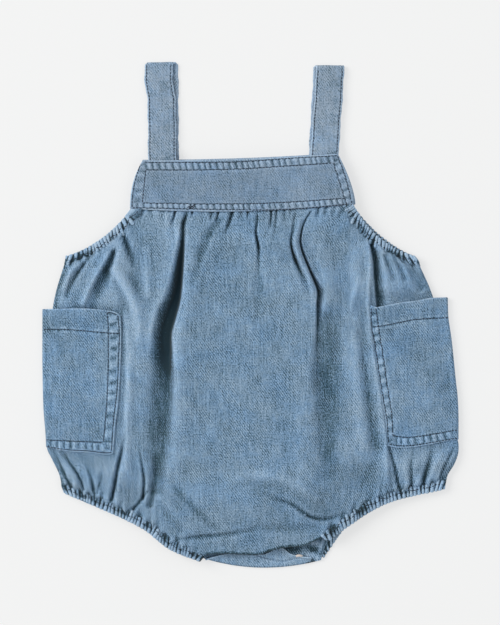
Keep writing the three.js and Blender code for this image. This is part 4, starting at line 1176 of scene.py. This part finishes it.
def casing(kind, hand, front, back, fold_first, seed, slip=0.0, smooth_start=0.0):
    """A band from its runs along the front and the back. fold_first is for runs that start at the
    side."""
    mitre = MITRE[kind, hand]
    front, back = (even(curve, BAND_STEPS) for curve in (front, back))
    kept = slice(SIDE_ROOM, None) if fold_first else slice(None, -SIDE_ROOM)
    front, back = front[kept], back[kept]
    front_plan, front_lobe, t = band_layer(front, mitre, slip, seed, smooth_start, 4.2)
    back_plan, back_lobe, _ = band_layer(back, mitre, 0.0, seed + 1, smooth_start, 1.5)
    crown = np.sin(math.pi * np.clip(t * 0.9, 0, 1)) ** 0.6
    front_z = edge_height(front_plan[..., 0]) + BAND_WALL / 2 + 0.9 + 0.7 * crown
    front_z = front_z + (front_lobe - 0.7) * mix(1.6, 3.0, smooth(t / 0.4)) - 0.5 * smooth((t - 0.8) / 0.2)
    back_z = back_underside(back_plan[..., 0]) + BAND_WALL / 2 + 0.35 + 0.5 * (back_lobe - 0.6)
    front_z = np.maximum(front_z, back_underside(front_plan[..., 0]) + 2.5 + BAND_WALL / 2)
    runs = [np.concatenate([front_plan, front_z[..., None]], axis=-1),
            np.concatenate([back_plan, back_z[..., None]], axis=-1)]
    lobes = [front_lobe, back_lobe]
    if fold_first:
        runs, lobes = [r[::-1] for r in runs], [r[::-1] for r in lobes]
    last, first = runs[0][-1], runs[1][-1]
    ahead = last[0] - runs[0][-4][0]
    ahead = np.array([ahead[0], ahead[1], 0]) / np.hypot(ahead[0], ahead[1])
    angle = np.radians(np.linspace(12, 168, SIDE_STEPS))[:, None, None]
    centre, radius = (last + first) / 2, np.linalg.norm(last - first, axis=-1, keepdims=True) / 2
    turn = centre + radius * (np.cos(angle) * (0, 0, 1) + np.sin(angle) * ahead)
    middle = np.concatenate([runs[0], turn, runs[1][::-1]])
    lobe = np.concatenate([lobes[0], np.full((SIDE_STEPS, t.shape[1]), 0.65), lobes[1][::-1]])
    # the creases between the ruches are painted dark, as shade; the band pales towards its open edge,
    # where its threads are worn
    crease = 0.36 + 0.14 * smooth((t[0] - 0.15) / 0.4)
    wear = mix(-3.2, 1.6, smooth((lobe - crease) / 0.36)) - 0.25 + 0.8 * (1 - t[0])
    wear = wear + 0.4 * ripple(np.arange(len(middle))[:, None] * 0.3, 7.0, seed + 3)
    piece = shell(f"{kind}_band_{hand}_cloth", middle, BAND_WALL, 0 * lobe, body_denim, wear, 0.4)
    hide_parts(f"{kind}_band_{hand}")
    weaving = np.round(12 + 3 * ripple(np.arange(24) * 1.0, 1.6, seed + 7)).astype(int)
    row = front_plan[np.linspace(8, len(front_plan) - 9, 24).astype(int), weaving]
    seam = stitched(f"{kind}_band_{hand}_stitches", [row], piece, seed=seed + 4, step=2.6,
                    length=2.2, width=0.72)
    total = sum(np.linalg.norm(np.diff(even(c, 60), axis=0), axis=1).sum() for c in (front, back))


casing("armhole", "left", ARMHOLE["left"], ARMHOLE["left"], False, 61, 0.5, 0.07)
casing("armhole", "right", ARMHOLE["right"], ARMHOLE["right"], False, 71, 2.2)
casing("leg", "left", FRONT_LEG["left"], BACK_LEG["left"], True, 81)
casing("leg", "right", FRONT_LEG["right"], BACK_LEG["right"], True, 91)


# ---------------------------------------------------------------- crotch
# The back's crotch edge is turned up inside into a strip, which holds three plastic press snaps. Their
# other halves sit under the front's hem.
placket_top = through([(-36.5, -199.6), (-27, -196.7), (-17.6, -194.6), (-8.1, -193.7), (2.7, -194.6),
                       (10.8, -195.3), (17.6, -192.6), (21.7, -189.9), (25, -189.2), (29.8, -192.6),
                       (33.9, -195.3), (43.3, -197.3), (50.1, -197.7)], 200)
hem_line, top_line = graph(BACK_HEM, 0, 1), graph(placket_top, 0, 1)
u, v = np.meshgrid(np.linspace(0, 1, 170), np.linspace(0, 1, 30))
x = mix(-36, 49.5, u)
low, high = hem_line(x) + 0.8, top_line(x)
y = mix(low, high, v)
z = CLOTH + GAP + CLOTH / 2 + 0.3 + 1.6 * v ** 1.5 * (1 + 0.7 * np.sin(x * 0.16 + 0.5))
z += fold(x, y, [(3, -194, -0.8, 1.5, 2), (9, -197.4, -1.3, 1.5, 2), (18, -199.6, -1.3, 1.5, 2),
                 (27, -201, -1.2, 1.5, 2), (37, -198.6, -1.0, 1.5, 2), (47, -198.4, -0.5, 1.5, 2)], 0.6)
z += 0.25 * ripple(x + 0.3 * y, 3.4, 101) * smooth(v / 0.3)
wear = np.clip(relief(z, 3) / 0.3, -1, 1) * 0.5 + 1.2 * smooth((v - 0.93) / 0.06) + 0.6
placket = shell("crotch_strip_cloth", np.stack([x, y, z], axis=-1), CLOTH, 0 * x, body_denim, wear, 0.4)
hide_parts("crotch_placket")


def snap_plastic():
    """Pale moulded plastic, slightly cloudy and half shiny."""
    bench = Bench("snap_plastic")
    cloud = bench.node("TexNoise", None, {
        "Vector": bench.node("TexCoord", None, None, "Object"), "Scale": 300.0, "Detail": 2.0})
    colour = bench.node("ValToRGB", {"stops": [
        (0.3, linear(214, 200, 190)), (0.7, linear(232, 220, 212))]}, {"Fac": cloud})
    return bench.finish(bench.node("BsdfPrincipled", None, {
        "Base Color": colour, "Roughness": 0.42, "Coat Weight": 0.2}))


plastic = snap_plastic()
SOCKET = [(0, 0), (2.9, 0), (3.2, 0.25), (3.2, 0.6), (2.95, 0.8), (2.7, 0.85), (2.55, 1.55), (2.3, 1.6),
          (2.0, 1.55), (1.85, 1.3), (1.3, 1.25), (1.15, 0.9), (0, 0.85)]
STUD = [(0, 0), (2.9, 0), (3.2, 0.25), (3.2, 0.6), (2.95, 0.8), (1.9, 0.9), (1.5, 1.05), (1.35, 1.2),
        (1.5, 1.45), (1.3, 1.6), (0, 1.6)]


def snap(name, node, profile, place, turn):
    """One half of a press snap, turned from its profile: rows of radius and height."""
    angles = np.linspace(0, 2 * math.pi, 33)[:-1]
    points = [(0, 0, profile[0][1]), (0, 0, profile[-1][1])]
    points += [(r * math.cos(a), r * math.sin(a), h) for r, h in profile[1:-1] for a in angles]
    sides, rings = len(angles), len(profile) - 2
    faces = [(0, 2 + (j + 1) % sides, 2 + j) for j in range(sides)]
    for k in range(rings - 1):
        for j in range(sides):
            a, b = 2 + k * sides + j, 2 + k * sides + (j + 1) % sides
            faces.append((a, b, b + sides, a + sides))
    top = 2 + (rings - 1) * sides
    faces += [(1, top + j, top + (j + 1) % sides) for j in range(sides)]
    mesh = bpy.data.meshes.new(name)
    mesh.from_pydata([tuple(np.array(p) * MM) for p in points], [], faces)
    mesh.polygons.foreach_set("use_smooth", [True] * len(mesh.polygons))
    mesh.materials.append(plastic)
    piece = bpy.data.objects.new(name, mesh)
    bpy.context.scene.collection.objects.link(piece)
    piece.location = Vector(place) * MM
    piece.rotation_euler = (turn, 0, 0)
    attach(piece, "root")
    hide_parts(node)


SNAPS = {"left": (-16, -188.5, 0), "middle": (12, -187.5, 0), "right": (40, -196.2, 1.15)}
for where, (snap_x, snap_y, turn) in SNAPS.items():
    snap(f"snap_socket_{where}_cap", f"snap_socket_{where}", SOCKET, (snap_x, snap_y, 3.3), turn)
    under_hem = float(front_bottom(np.array(snap_x))) + 6
    snap(f"snap_stud_{where}_cap", f"snap_stud_{where}", STUD,
         (snap_x, under_hem, float(edge_height(snap_x)) - GAP), math.pi)
